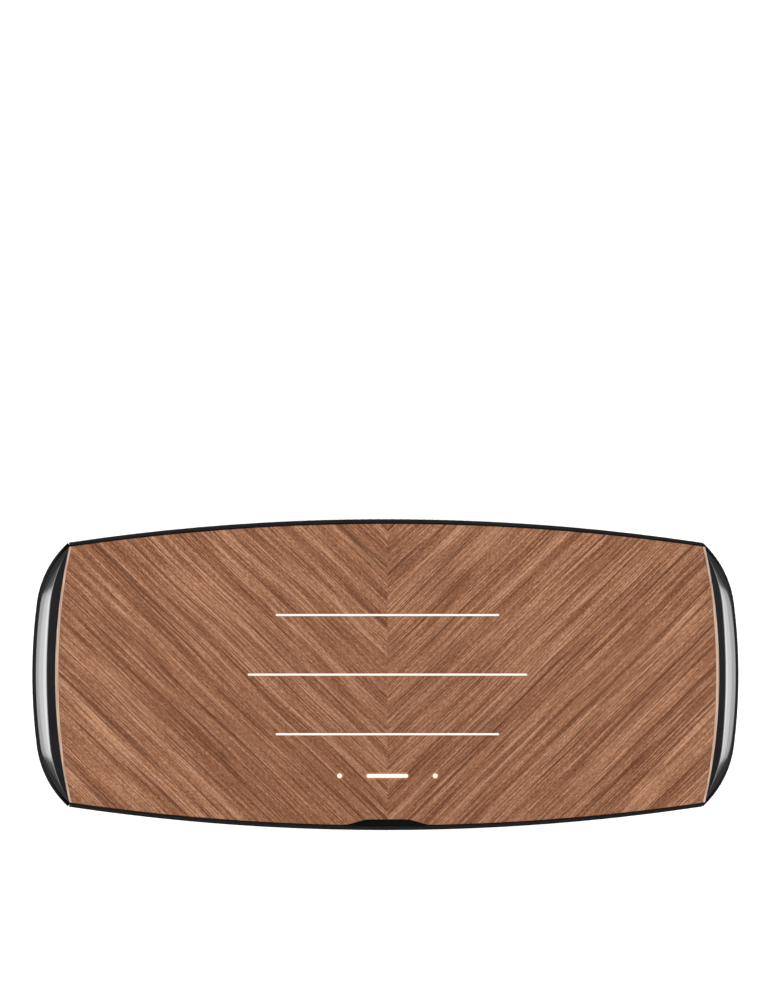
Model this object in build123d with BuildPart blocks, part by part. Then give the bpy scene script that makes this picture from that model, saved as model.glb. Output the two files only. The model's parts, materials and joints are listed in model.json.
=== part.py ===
"""A wide one-box speaker, shaped like a boat's hull, built from its separate pieces.

Row frame: millimetres, +X to the right seen from the front, +Y to the rear, +Z up.
The origin is on the floor, under the middle of the body. The front faces -Y.
Every outline of the body is one loop: two long bows (front and rear) and, at each end,
a flat bow that turns through two tighter arcs into the corners.
"""

from build123d import *
from collections import namedtuple
import math
import os

# ---------------------------------------------------------------- body
overall_length = 650.0
overall_depth = 286.0
overall_height = 130.0

corner_setback = 33.0  # corner of the outline, in from the end
corner_drop = 21.6  # corner of the outline, in from the front and rear bow
shoulder_run = 55.4  # from the corner to where the flat end bow starts
end_bow_radius = 520.0
rim_lean = 4.4  # the long faces lean in by this much from gunwale to deck
corner_lean = 3.9
rim_width = 2.6  # black edge outside the shoulder trim
taper_power = 1.8  # how late the hull pulls in below the gunwale
long_taper = 18.0  # pull-in of the long faces at the tray
end_taper = 35.0
corner_taper_x = 30.0
corner_taper_y = 20.4

foot_height = 12.0
tray_thickness = 6.0
deck_thickness = 4.0
frame_thickness = 4.0
trim_below_top = 22.0
trim_height = 10.0
gunwale_below_trim = 6.0

seam = 0.4  # gap between neighbouring covers
cloth_thickness = 1.0
panel_wall = 3.0
mitre_x = 0.5  # how far a corner moves in X and Y for one unit of inset
mitre_y = 0.93

# ---------------------------------------------------------------- deck and its ends
deck_edge_gap = 0.3
deck_end_in = 23.0  # end of the wood, in from the body's end
deck_bow_radius = 633.0
inlay_width = 3.0
inlay_corner_width = 2.2
inlay_gap = 0.05
inlay_bow_radius = 537.0
trim_width = 9.8
trim_lip = 3.0  # its upright edge, below the slope
trim_crown = 0.35  # how much the slope flattens on its way up
trim_bow_radius = 680.0
band_step = 0.6
badge_half_width = 41.0
badge_rise = 5.4
badge_flat = 16.0  # half the width of its flat top
badge_gap = 0.3
badge_below_deck = 0.8

# ---------------------------------------------------------------- lights in the deck
line_width = 2.0
line_pitch = 54.7
line_short = 205.3
line_long = 256.8
bar_length = 37.9
bar_width = 3.4
dot_diameter = 4.2
dot_spacing = 87.9
controls_ahead = 92.9  # of the middle line
light_gap = 0.1
light_flange = 1.5  # how far a light guide's foot reaches under the frame
light_foot = 1.2
led_size = 2.4
led_height = 0.8
led_pitch = 15.0
board_below_frame = 2.4
board_thickness = 1.6
board_length = 290.0
board_margin = 10.0

# ---------------------------------------------------------------- cabinet
cabinet_front_gap = 25.0
cabinet_end_gap = 28.0
bay_depth = 41.0
cabinet_wall = 6.0
cabinet_floor = 8.0
lid_thickness = 4.0
lid_below_board = 2.0
lid_lip = 3.0
cut_front_x, cut_front_y = 62.0, 38.0
cut_rear_x, cut_rear_y = 47.0, 34.0
fit_gap = 0.3

# ---------------------------------------------------------------- tray, guard, feet, screws
tray_edge = 1.5
guard_thickness = 2.0
guard_margin = 9.0
guard_bar = 3.0
guard_ring_pitch = 13.0
guard_spokes = 6
foot_top_radius = 15.0
foot_bottom_radius = 12.0
foot_edge = 1.5
foot_in_x, foot_in_y = 62.0, 44.0
Screw = namedtuple("Screw", "radius head_radius head_height length")
tray_screw = Screw(2.0, 4.0, 2.4, 10.0)
driver_screw = Screw(1.4, 2.6, 1.6, 7.0)
screw_in = 15.0
screw_slot = 0.8

# ---------------------------------------------------------------- drivers
Driver = namedtuple(
    "Driver",
    "flange opening cone coil flange_thickness basket_depth depth motor "
    "cone_depth cap coil_reach spokes roll_wall",
)
woofer = Driver(83.0, 74.0, 60.0, 19.0, 4.0, 34.0, 66.0, 52.0, 18.0, 26.0, 12.0, 6, 1.2)
full_range = Driver(46.0, 36.0, 30.0, 10.0, 3.0, 19.0, 38.0, 24.0, 9.0, 14.0, 5.5, 5, 0.8)
basket_wall = 2.0
yoke_floor = 4.0
cone_below_flange = 2.0
cone_wall = 1.0
coil_wall = 0.8
coil_gap = 0.8
cap_bulge = 0.28  # rise of the dust cap for one unit of its radius
roll_foot = 0.5
window_share = 0.62
flange_screws = 4
mid_spacing = 204.0
driver_above_floor = 4.0
Tweeter = namedtuple("Tweeter", "flange face can depth dome rise wall former sink horn gap")
tweeter = Tweeter(24.0, 3.0, 17.0, 20.0, 11.0, 4.0, 0.5, 6.0, 2.0, 6.0, 0.8)
tweeter_spacing = 348.0

# ---------------------------------------------------------------- windows behind the cloth
window_margin = 8.0
window_above_tray = 12.0
window_below_frame = 10.0
window_corner = 8.0
end_window_margin = 6.0

# ---------------------------------------------------------------- rear bay and its sockets
rear_wall = 3.5
bay_width = 184.0
bay_height = 44.0
bay_above_tray = 16.0
bay_corner = 6.0
bay_wall = 2.5
plate_in = 19.0  # outer face of the plate, in from the tray's rear bow
plate_thickness = 2.0
board_behind_plate = 14.0
socket_proud = 0.8
socket_gap = 0.25
inlet_u, switch_u, button_u, hdmi_u, lan_u, line_u = -66.0, -34.0, -11.0, 13.0, 43.0, 70.0
inlet_body, inlet_flange, inlet_flange_thickness = (24.0, 16.0), (30.0, 21.0), 1.2
inlet_slot, inlet_depth = (16.8, 9.0), 12.0
inlet_pin_radius, inlet_pin_spacing, inlet_pin_length = 1.2, 8.6, 9.0
hdmi_body, hdmi_opening, hdmi_tongue = (16.6, 7.2), (14.2, 4.8), (11.0, 1.2)
hdmi_depth, hdmi_tongue_length = 11.0, 9.0
lan_body, lan_opening, lan_latch, lan_depth = (17.0, 14.0), (12.4, 8.6), (5.0, 2.0), 12.0
line_body, line_collar, line_bore, line_depth = (11.0, 11.0), 4.0, 1.8, 12.0
switch_body, switch_flange, switch_depth = (19.0, 14.4), (23.0, 18.0), 11.0
switch_flange_thickness, switch_wall, switch_pocket = 1.2, 2.0, 7.5
rocker_tilt = 9.0
rocker_gap = 0.5
rocker_pivot_in = 3.2
rocker_half, rocker_proud, rocker_dip = 4.4, 0.6, 0.3
rocker_back, rocker_back_half = 3.0, 2.2
rocker_pin, rocker_pin_reach, rocker_pin_gap = 1.2, 1.4, 0.05
button_radius, button_proud, button_gap, button_travel = 2.6, 1.6, 0.15, 1.0
button_skirt_radius, button_skirt, button_stem, button_stem_length = 4.2, 1.2, 1.5, 6.0
contact_size = 6.0

# ---------------------------------------------------------------- boards in the rear bay
post_radius = 2.5
post_in = 5.0
main_board_margin = 3.0
side_board_gap, side_board_end = 3.0, 11.0  # from the main board, and from the cabinet's cut corner
side_board_post = 4.0
side_board_low, side_board_high = 12.0, 6.0
chip_size, chip_height, chip_spacing = 12.0, 1.6, 52.0
power_block, power_block_height = (34.0, 30.0), 20.0
capacitor_radius, capacitor_height, capacitor_pitch = 7.0, 17.0, 18.0
amplifier_chip = 3.0
sink_margin = 8.0
sink_base, sink_fin, sink_fin_height, sink_fins = 3.0, 1.6, 10.0, 10

# ---------------------------------------------------------------- vents in the rear cover
vent_width, vent_height, vent_pitch, vent_count = 2.6, 18.0, 7.0, 24
vent_below_frame = 24.0

# ---------------------------------------------------------------- heights
half_length = overall_length / 2
half_depth = overall_depth / 2
corner_x = half_length - corner_setback
corner_y = half_depth - corner_drop

deck_top = overall_height
deck_seat = deck_top - deck_thickness
frame_bottom = deck_seat - frame_thickness
trim_top = deck_top - trim_below_top
trim_bottom = trim_top - trim_height
gunwale = trim_bottom - gunwale_below_trim
tray_bottom = foot_height
tray_top = tray_bottom + tray_thickness
floor_top = tray_top + cabinet_floor
board_top = frame_bottom - board_below_frame
lid_top = board_top - board_thickness - lid_below_board
lid_bottom = lid_top - lid_thickness
driver_z = floor_top + full_range.opening + driver_above_floor
plate_centre = tray_top + bay_above_tray + bay_height / 2

# ---------------------------------------------------------------- loops
Loop = namedtuple("Loop", "corner_x corner_y middle_y end_x bow")


def body(z):
    """The body's outer loop at height z: leaning in above the gunwale, tapering below it."""
    if z >= gunwale:
        lean = ((z - gunwale) / (deck_seat - gunwale)) ** 2
        rim = min(1.0, (z - gunwale) / gunwale_below_trim) ** 2
        return Loop(
            corner_x,
            corner_y - corner_lean * lean,
            half_depth - rim_lean * lean,
            half_length - rim_width * rim,
            end_bow_radius,
        )
    pull = ((gunwale - z) / (gunwale - tray_bottom)) ** taper_power
    return Loop(
        corner_x - corner_taper_x * pull,
        corner_y - corner_taper_y * pull,
        half_depth - long_taper * pull,
        half_length - end_taper * pull,
        end_bow_radius,
    )


def inset(loop, depth):
    """The loop moved in by depth, with its corners on the mitre."""
    return Loop(
        loop.corner_x - mitre_x * depth,
        loop.corner_y - mitre_y * depth,
        loop.middle_y - depth,
        loop.end_x - depth,
        loop.bow,
    )


def bow_y(loop, x):
    """Distance of the loop's long bow from the X axis, at x."""
    rise = loop.middle_y - loop.corner_y
    radius = (loop.corner_x**2 + rise**2) / (2 * rise)
    return loop.middle_y - radius + math.sqrt(radius**2 - x**2)


def shortened(loop, corner, end_x, bow):
    """The same long bows cut off at corner in X, with another end."""
    return Loop(corner, bow_y(loop, corner), loop.middle_y, end_x, bow)


def long_bow(loop, side):
    """Draws the front (side -1) or rear (side 1) bow."""
    ThreePointArc(
        (-loop.corner_x, side * loop.corner_y),
        (0, side * loop.middle_y),
        (loop.corner_x, side * loop.corner_y),
    )


def end_bows(loop, side):
    """Draws the left (side -1) or right (side 1) end: a flat bow and two arcs tangent to it."""
    rise = loop.corner_y - shoulder_run
    reach = math.sqrt(loop.bow**2 - rise**2)
    x = side * (loop.end_x - loop.bow + reach)
    ThreePointArc((x, -rise), (side * loop.end_x, 0), (x, rise))
    for up in (1, -1):
        TangentArc(
            (x, up * rise),
            (side * loop.corner_x, up * loop.corner_y),
            tangent=(-side * rise, up * reach),
        )


def loop_face(loop, z):
    """The whole loop as a face at height z."""
    with BuildSketch(Plane.XY.offset(z)) as face:
        with BuildLine():
            for side in (1, -1):
                long_bow(loop, side)
                end_bows(loop, side)
        make_face()
    return face.sketch


def long_panel(heights, outer, inner, side, mode=Mode.ADD):
    """Lofts a front or rear cover between the corners, from outer to inner inset."""
    sections = []
    for z in heights:
        pair = [inset(body(z), depth) for depth in (outer, inner)]
        pair = [loop._replace(corner_x=loop.corner_x - seam) for loop in pair]
        with BuildSketch(Plane.XY.offset(z)) as section:
            with BuildLine():
                for loop in pair:
                    long_bow(loop, side)
                for end in (1, -1):
                    Line(*[(end * loop.corner_x, side * loop.corner_y) for loop in pair])
            make_face()
        sections.append(section.sketch)
    loft(sections, ruled=True, mode=mode)


def end_panel(levels, side, outer, inner):
    """Lofts an end cover through levels of (height, loop), from outer to inner inset."""
    sections = []
    for z, level in levels:
        pair = [inset(level, depth) for depth in (outer, inner)]
        with BuildSketch(Plane.XY.offset(z)) as section:
            with BuildLine():
                for loop in pair:
                    end_bows(loop, side)
                for up in (1, -1):
                    Line(*[(side * loop.corner_x, up * loop.corner_y) for loop in pair])
            make_face()
        sections.append(section.sketch)
    loft(sections, ruled=True)


def end_level(z, end_x, bow, corner_in=0.0):
    """The body's loop at height z with another end, clear of the long covers by the seam.

    Its corners are moved in along the mitre by corner_in.
    """
    loop = inset(body(z), corner_in)
    return Loop(loop.corner_x + seam / 2, loop.corner_y - seam / 2, loop.middle_y, end_x, bow)


def between(low, high, count):
    """Evenly spaced values from low to high."""
    return [low + (high - low) * i / (count - 1) for i in range(count)]


def block(plane, size, depth, corner=0.0, places=((0, 0),), mode=Mode.ADD):
    """Extrudes a rectangle, rounded by corner, from the plane at each of the places."""
    with BuildSketch(plane) as outline:
        with Locations(*places):
            if corner:
                RectangleRounded(*size, corner)
            else:
                Rectangle(*size)
    extrude(outline.sketch, amount=depth, mode=mode)


def post(plane, radius, depth, places=((0, 0),), mode=Mode.ADD):
    """Extrudes a circle from the plane at each of the places."""
    with BuildSketch(plane) as outline:
        with Locations(*places):
            Circle(radius)
    extrude(outline.sketch, amount=depth, mode=mode)


def save(builder, name):
    """Labels a finished piece and writes it to parts/."""
    builder.part.label = name
    export_step(builder.part, f"parts/{name}.step")


os.makedirs("parts", exist_ok=True)
ENDS = (("left", -1), ("right", 1))

# ---------------------------------------------------------------- places
tray_loop = body(tray_bottom)
cabinet_front = -(tray_loop.middle_y - cabinet_front_gap)
cabinet_rear = tray_loop.middle_y - bay_depth
cabinet_end = tray_loop.end_x - cabinet_end_gap
woofer_y = (cabinet_front + cabinet_rear) / 2
plate_y = tray_loop.middle_y - plate_in
main_board_y = plate_y - board_behind_plate
side_board_y = cabinet_rear + side_board_post + board_thickness
controls_y = -controls_ahead
guard_radius = woofer.opening + guard_margin

cabinet_plan = [
    (-cabinet_end + cut_front_x, cabinet_front),
    (cabinet_end - cut_front_x, cabinet_front),
    (cabinet_end, cabinet_front + cut_front_y),
    (cabinet_end, cabinet_rear - cut_rear_y),
    (cabinet_end - cut_rear_x, cabinet_rear),
    (-cabinet_end + cut_rear_x, cabinet_rear),
    (-cabinet_end, cabinet_rear - cut_rear_y),
    (-cabinet_end, cabinet_front + cut_front_y),
]
foot_places = [
    (sx * (tray_loop.end_x - foot_in_x), sy * (tray_loop.middle_y - foot_in_y))
    for sx in (-1, 1)
    for sy in (-1, 1)
]
tray_screw_places = [
    (sx * (cabinet_end - cut_front_x), y)
    for sx in (-1, 1)
    for y in (cabinet_front + screw_in, cabinet_rear - screw_in)
]

# Each driver stands on a plane whose origin is the middle of its flange's front face.
woofer_at = Plane(origin=(0, woofer_y, floor_top), x_dir=(1, 0, 0), z_dir=(0, 0, -1))
mid_at = {
    end: Plane(
        origin=(side * mid_spacing / 2, cabinet_front - full_range.flange_thickness, driver_z),
        x_dir=(1, 0, 0),
        z_dir=(0, -1, 0),
    )
    for end, side in ENDS
}
tweeter_at = {
    end: Plane(
        origin=(side * tweeter_spacing / 2, cabinet_front - tweeter.face, driver_z),
        x_dir=(1, 0, 0),
        z_dir=(0, -1, 0),
    )
    for end, side in ENDS
}
side_at = {
    end: Plane(
        origin=(side * (cabinet_end + full_range.flange_thickness), woofer_y, driver_z),
        x_dir=(0, side, 0),
        z_dir=(side, 0, 0),
    )
    for end, side in ENDS
}


def rear_view(y):
    """Plane at y seen from behind: its x runs to the left of the body, its y upwards."""
    return Plane(origin=(0, y, 0), x_dir=(-1, 0, 0), z_dir=(0, 1, 0))


def screw_circle(driver):
    """Radius on which a driver's flange screws stand."""
    return (driver.flange + driver.opening + basket_wall) / 2


# ---------------------------------------------------------------- tray and guard
with BuildPart() as base_tray:
    levels = (
        (inset(tray_loop, tray_edge), tray_bottom),
        (body(tray_bottom + tray_edge), tray_bottom + tray_edge),
        (body(tray_top), tray_top),
    )
    loft([loop_face(*level) for level in levels], ruled=True)
    for radius, depth, places in (
        (guard_radius, guard_thickness, [(0, woofer_y)]),
        (woofer.opening, tray_thickness, [(0, woofer_y)]),
        (tray_screw.head_radius + fit_gap, tray_screw.head_height, tray_screw_places),
        (tray_screw.radius + fit_gap, tray_thickness, tray_screw_places),
    ):
        post(Plane.XY.offset(tray_bottom), radius, depth, places, Mode.SUBTRACT)
save(base_tray, "base_tray")

with BuildPart() as woofer_guard:
    rim = woofer.opening - guard_bar
    with BuildSketch(Plane.XY.offset(tray_bottom)):
        with Locations((0, woofer_y)):
            Circle(guard_radius - fit_gap)
            Circle(rim, mode=Mode.SUBTRACT)
            for i in range(1, int(rim / guard_ring_pitch)):
                Circle(rim - i * guard_ring_pitch + guard_bar)
                Circle(rim - i * guard_ring_pitch, mode=Mode.SUBTRACT)
            for i in range(guard_spokes // 2):
                Rectangle(2 * rim + guard_bar, guard_bar, rotation=360 / guard_spokes * i)
    extrude(amount=guard_thickness)
save(woofer_guard, "woofer_guard")

# ---------------------------------------------------------------- feet and screws
with BuildPart() as feet:
    for place in foot_places:
        for z, radius in ((0, foot_bottom_radius), (tray_bottom, foot_top_radius)):
            with BuildSketch(Plane.XY.offset(z)):
                with Locations(place):
                    Circle(radius)
        loft()
    fillet(feet.edges().group_by(Axis.Z)[0], foot_edge)
save(feet, "feet")


def slotted_screw(seat, size):
    """A screw whose head stands on the plane seat and whose shaft runs behind it."""
    post(seat, size.radius, -size.length)
    post(seat, size.head_radius, size.head_height)
    slot_floor = seat.offset(size.head_height / 2)
    block(slot_floor, (2 * size.head_radius, screw_slot), size.head_height, mode=Mode.SUBTRACT)


with BuildPart() as tray_screws:
    for x, y in tray_screw_places:
        origin = (x, y, tray_bottom + tray_screw.head_height)
        slotted_screw(Plane(origin=origin, x_dir=(1, 0, 0), z_dir=(0, 0, -1)), tray_screw)
save(tray_screws, "tray_screws")


def flange_seats(at, driver):
    """Planes of a driver's screws, on the front of its flange, or on its back for the woofer."""
    inside = at is woofer_at
    seat = at.offset(-driver.flange_thickness if inside else 0)
    facing = Plane(seat.origin, seat.x_dir, -seat.z_dir if inside else seat.z_dir)
    for i in range(flange_screws):
        turn = math.radians(360 / flange_screws * (i + 0.5))
        spot = (screw_circle(driver) * math.cos(turn), screw_circle(driver) * math.sin(turn), 0)
        yield Plane(facing.from_local_coords(Vector(*spot)), facing.x_dir, facing.z_dir)


driver_places = [(woofer_at, woofer)] + [
    (at, full_range) for group in (mid_at, side_at) for at in group.values()
]

with BuildPart() as driver_screws:
    for at, driver in driver_places:
        for seat in flange_seats(at, driver):
            slotted_screw(seat, driver_screw)
save(driver_screws, "driver_screws")

# ---------------------------------------------------------------- cabinet
board_low, board_high = floor_top + side_board_low, lid_bottom - side_board_high
side_board_near = bay_width / 2 + main_board_margin + side_board_gap
side_board_far = cabinet_end - cut_rear_x - side_board_end
side_board = (side_board_far - side_board_near, board_high - board_low)
side_board_u = (side_board_far + side_board_near) / 2
side_board_z = (board_high + board_low) / 2
main_board_size = (bay_width + 2 * main_board_margin, bay_height + 2 * main_board_margin)
sensor_board_size = (board_length, controls_ahead + line_pitch + 2 * board_margin)
sensor_board_y = (line_pitch - controls_ahead) / 2


def corners(size, centre, margin):
    """The four places a margin in from the corners of a rectangle round centre."""
    return [
        (centre[0] + sx * (size[0] / 2 - margin), centre[1] + sz * (size[1] / 2 - margin))
        for sx in (-1, 1)
        for sz in (-1, 1)
    ]


with BuildPart() as cabinet_tub:
    with BuildSketch(Plane.XY.offset(tray_top)):
        with BuildLine():
            Polyline(*cabinet_plan, close=True)
        make_face()
    extrude(amount=lid_bottom - tray_top)
    with BuildSketch(Plane.XY.offset(floor_top)):
        with BuildLine():
            Polyline(*cabinet_plan, close=True)
            offset(amount=-cabinet_wall, kind=Kind.INTERSECTION, mode=Mode.REPLACE)
        make_face()
    extrude(amount=lid_bottom - floor_top, mode=Mode.SUBTRACT)
    post(woofer_at, woofer.opening, cabinet_floor, mode=Mode.SUBTRACT)
    for group in (mid_at, side_at):
        for at in group.values():
            wall = at.offset(-full_range.flange_thickness)
            reach = full_range.opening + basket_wall + fit_gap
            post(wall, reach, -cabinet_wall, mode=Mode.SUBTRACT)
    for at in tweeter_at.values():
        wall = at.offset(-tweeter.face)
        post(wall, tweeter.can + fit_gap, -cabinet_wall, mode=Mode.SUBTRACT)
    for at, driver in driver_places:
        for seat in flange_seats(at, driver):
            post(seat, driver_screw.radius, -driver_screw.length, mode=Mode.SUBTRACT)
    screw_reach = tray_screw.length - tray_thickness + tray_screw.head_height
    post(Plane.XY.offset(tray_top), tray_screw.radius, screw_reach, tray_screw_places, Mode.SUBTRACT)
    back = rear_view(cabinet_rear)
    places = corners(main_board_size, (0, plate_centre), post_in)
    post(back, post_radius, main_board_y - board_thickness - cabinet_rear, places)
    for side in (-1, 1):
        places = corners(side_board, (side * side_board_u, side_board_z), post_in)
        post(back, post_radius, side_board_post, places)
save(cabinet_tub, "cabinet_tub")

with BuildPart() as cabinet_lid:
    with BuildSketch(Plane.XY.offset(lid_bottom)):
        with BuildLine():
            Polyline(*cabinet_plan, close=True)
        make_face()
    extrude(amount=lid_thickness)
    with BuildSketch(Plane.XY.offset(lid_bottom)):
        for depth, mode in ((fit_gap, Mode.ADD), (fit_gap + lid_lip, Mode.SUBTRACT)):
            with BuildLine() as lip:
                Polyline(*cabinet_plan, close=True)
                offset(amount=-cabinet_wall - depth, kind=Kind.INTERSECTION, mode=Mode.REPLACE)
            make_face(lip.line.edges(), mode=mode)
    extrude(amount=-lid_lip)
    places = corners(sensor_board_size, (0, sensor_board_y), post_in)
    post(Plane.XY.offset(lid_top), post_radius, lid_below_board, places)
save(cabinet_lid, "cabinet_lid")


# ---------------------------------------------------------------- drivers
def turned(at, points):
    """Revolves a closed outline of (radius, height) points about the axis of the plane at."""
    with BuildSketch(Plane(origin=at.origin, x_dir=at.x_dir, z_dir=-at.y_dir)) as outline:
        with BuildLine():
            Polyline(*points, close=True)
        make_face()
    revolve(outline.sketch, axis=Axis(at.origin, at.z_dir))


def basket(at, d):
    """A driver's basket: a flange, a tapering spoked wall and a floor round the motor's gap."""
    hole, floor = d.coil + coil_gap, -d.basket_depth
    turned(
        at,
        (
            (d.flange, 0),
            (d.opening, 0),
            (d.opening, -d.flange_thickness),
            (d.motor - basket_wall, floor),
            (hole, floor),
            (hole, floor - basket_wall),
            (d.motor, floor - basket_wall),
            (d.opening + basket_wall, -d.flange_thickness),
            (d.flange, -d.flange_thickness),
        ),
    )
    middle, width = (d.motor + d.opening) / 2, d.opening - d.motor
    with BuildSketch(at.offset(-d.flange_thickness)) as windows:
        with PolarLocations(middle, d.spokes):
            Rectangle(window_share * width, window_share * 2 * math.pi * middle / d.spokes)
    extrude(windows.sketch, amount=floor - basket_wall, mode=Mode.SUBTRACT)
    with BuildSketch(at) as holes:
        with PolarLocations(screw_circle(d), flange_screws, start_angle=180 / flange_screws):
            Circle(driver_screw.radius + fit_gap / 2)
    extrude(holes.sketch, amount=-d.flange_thickness, mode=Mode.SUBTRACT)


def motor(at, d):
    """A driver's magnet and yoke, open round the pole for the voice coil."""
    top, bottom = -d.basket_depth - basket_wall, -d.depth
    pole, gap = d.coil - coil_wall - coil_gap, d.coil + coil_gap
    turned(
        at,
        (
            (0, top),
            (pole, top),
            (pole, bottom + yoke_floor),
            (gap, bottom + yoke_floor),
            (gap, top),
            (d.motor, top),
            (d.motor, bottom),
            (0, bottom),
        ),
    )


def cone(at, d):
    """A driver's cone with its dust cap and the voice coil's former, as one moving piece."""
    rim, neck = -cone_below_flange, -cone_below_flange - d.cone_depth
    slope = d.cone_depth / (d.cone - d.coil)
    cap_edge = rim - slope * (d.cone - d.cap)
    cap_top = cap_edge + cap_bulge * d.cap
    former = -d.basket_depth - basket_wall - d.coil_reach
    inner = d.coil - coil_wall
    with BuildSketch(Plane(origin=at.origin, x_dir=at.x_dir, z_dir=-at.y_dir)) as outline:
        with BuildLine():
            TangentArc((0, cap_top), (d.cap, cap_edge), tangent=(1, 0))
            Polyline(
                (d.cap, cap_edge),
                (d.cone, rim),
                (d.cone, rim - d.roll_wall),
                (d.coil, neck - cone_wall),
                (d.coil, former),
                (inner, former),
                (inner, neck),
            )
            TangentArc((0, cap_top - cone_wall), (inner, neck), tangent=(1, 0))
            Line((0, cap_top - cone_wall), (0, cap_top))
        make_face()
    revolve(outline.sketch, axis=Axis(at.origin, at.z_dir))


def surround(at, d):
    """A driver's half-roll surround, between its cone and its flange."""
    foot_top = -cone_below_flange
    foot = foot_top - d.roll_wall
    middle = (d.cone + d.opening) / 2
    outer = (d.opening - d.cone) / 2 - roll_foot
    inner = outer - d.roll_wall
    reach = math.sqrt(outer**2 - d.roll_wall**2)
    with BuildSketch(Plane(origin=at.origin, x_dir=at.x_dir, z_dir=-at.y_dir)) as outline:
        with BuildLine():
            Line((d.cone, foot), (d.cone, foot_top))
            Line((d.cone, foot_top), (middle - reach, foot_top))
            ThreePointArc(
                (middle - reach, foot_top),
                (middle, foot + outer),
                (middle + reach, foot_top),
            )
            Line((middle + reach, foot_top), (d.opening, foot_top))
            Line((d.opening, foot_top), (d.opening, foot))
            Line((d.opening, foot), (middle + inner, foot))
            ThreePointArc((middle + inner, foot), (middle, foot + inner), (middle - inner, foot))
            Line((middle - inner, foot), (d.cone, foot))
        make_face()
    revolve(outline.sketch, axis=Axis(at.origin, at.z_dir))


for name, make in (("basket", basket), ("motor", motor), ("cone", cone), ("surround", surround)):
    with BuildPart() as piece:
        make(woofer_at, woofer)
    save(piece, f"woofer_{name}")

for group, places in (("mid", mid_at), ("side", side_at)):
    for end, at in places.items():
        with BuildPart() as chassis:
            basket(at, full_range)
            motor(at, full_range)
        save(chassis, f"{group}_chassis_{end}")
        with BuildPart() as moving_cone:
            cone(at, full_range)
        save(moving_cone, f"{group}_cone_{end}")
        with BuildPart() as half_roll:
            surround(at, full_range)
        save(half_roll, f"{group}_surround_{end}")

for end, at in tweeter_at.items():
    with BuildPart() as tweeter_body:
        t = tweeter
        turned(
            at,
            (
                (t.flange, 0),
                (t.dome + t.horn, 0),
                (t.dome + t.gap, -t.sink),
                (t.dome + t.gap, -t.sink - t.former - t.gap),
                (t.dome - t.wall - t.gap, -t.sink - t.former - t.gap),
                (t.dome - t.wall - t.gap, -t.sink - t.gap),
                (0, -t.sink - t.gap),
                (0, -t.depth),
                (t.can, -t.depth),
                (t.can, -t.face),
                (t.flange, -t.face),
            ),
        )
    save(tweeter_body, f"tweeter_body_{end}")
    with BuildPart() as tweeter_dome:
        with BuildSketch(Plane(origin=at.origin, x_dir=at.x_dir, z_dir=-at.y_dir)):
            with BuildLine():
                dome_top = t.rise - t.sink
                TangentArc((0, dome_top), (t.dome, -t.sink), tangent=(1, 0))
                Polyline(
                    (t.dome, -t.sink),
                    (t.dome, -t.sink - t.former),
                    (t.dome - t.wall, -t.sink - t.former),
                    (t.dome - t.wall, -t.sink),
                )
                TangentArc((0, dome_top - t.wall), (t.dome - t.wall, -t.sink), tangent=(1, 0))
                Line((0, dome_top - t.wall), (0, dome_top))
            make_face()
        revolve(axis=Axis(at.origin, at.z_dir))
    save(tweeter_dome, f"tweeter_dome_{end}")

# ---------------------------------------------------------------- front and end covers
end_heights = [*between(tray_top, gunwale, 9), (gunwale + trim_bottom) / 2, trim_bottom]
front_heights = [*end_heights, *between(trim_bottom, frame_bottom, 4)[1:]]
window_inner = mid_spacing / 2 - full_range.flange - window_margin
window_outer = tweeter_spacing / 2 + tweeter.flange + window_margin
window_low = tray_top + window_above_tray
window_high = frame_bottom - window_below_frame

with BuildPart() as front_grille_frame:
    long_panel(front_heights, cloth_thickness, cloth_thickness + panel_wall, -1)
    front_view = Plane(origin=(0, 0, (window_low + window_high) / 2), z_dir=(0, -1, 0))
    window = (window_outer - window_inner, window_high - window_low)
    spots = [(side * (window_inner + window_outer) / 2, 0) for _, side in ENDS]
    block(front_view, window, half_depth, window_corner, spots, Mode.SUBTRACT)
save(front_grille_frame, "front_grille_frame")

with BuildPart() as front_grille_cloth:
    long_panel(front_heights, 0, cloth_thickness, -1)
save(front_grille_cloth, "front_grille_cloth")

for end, side in ENDS:
    levels = [(z, end_level(z, body(z).end_x, end_bow_radius)) for z in end_heights]
    with BuildPart() as end_frame:
        end_panel(levels, side, cloth_thickness, cloth_thickness + panel_wall)
        window = (
            2 * (full_range.flange + window_margin),
            2 * (trim_bottom - driver_z - end_window_margin),
        )
        block(side_at[end], window, half_length, window_corner, mode=Mode.SUBTRACT)
    save(end_frame, f"end_panel_{end}")
    with BuildPart() as end_cloth:
        end_panel(levels, side, 0, cloth_thickness)
    save(end_cloth, f"end_cloth_{end}")

    with BuildPart() as shoulder_trim:
        foot = end_level(trim_bottom, half_length - rim_width, end_bow_radius, rim_width)
        levels = [(trim_bottom, foot)]
        for share in between(0, 1, 6):
            reach = half_length - rim_width - trim_width * share
            bow = end_bow_radius + (trim_bow_radius - end_bow_radius) * share
            rise = (1 + trim_crown) * share - trim_crown * share**2
            z = trim_bottom + trim_lip + (trim_height - trim_lip) * rise
            levels.append((z, end_level(z, reach, bow, rim_width)))
        end_panel(levels, side, 0, panel_wall)
    save(shoulder_trim, f"shoulder_trim_{end}")

    with BuildPart() as mesh_band:
        low = half_length - rim_width - trim_width - band_step
        high = half_length - deck_end_in + inlay_width
        heights = between(trim_top, frame_bottom, 3)
        bows = between(trim_bow_radius, inlay_bow_radius, 3)
        levels = [
            (z, end_level(z, x, bow, rim_width)) for z, x, bow in zip(heights, between(low, high, 3), bows)
        ]
        end_panel(levels, side, 0, panel_wall)
    save(mesh_band, f"mesh_band_{end}")

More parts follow.
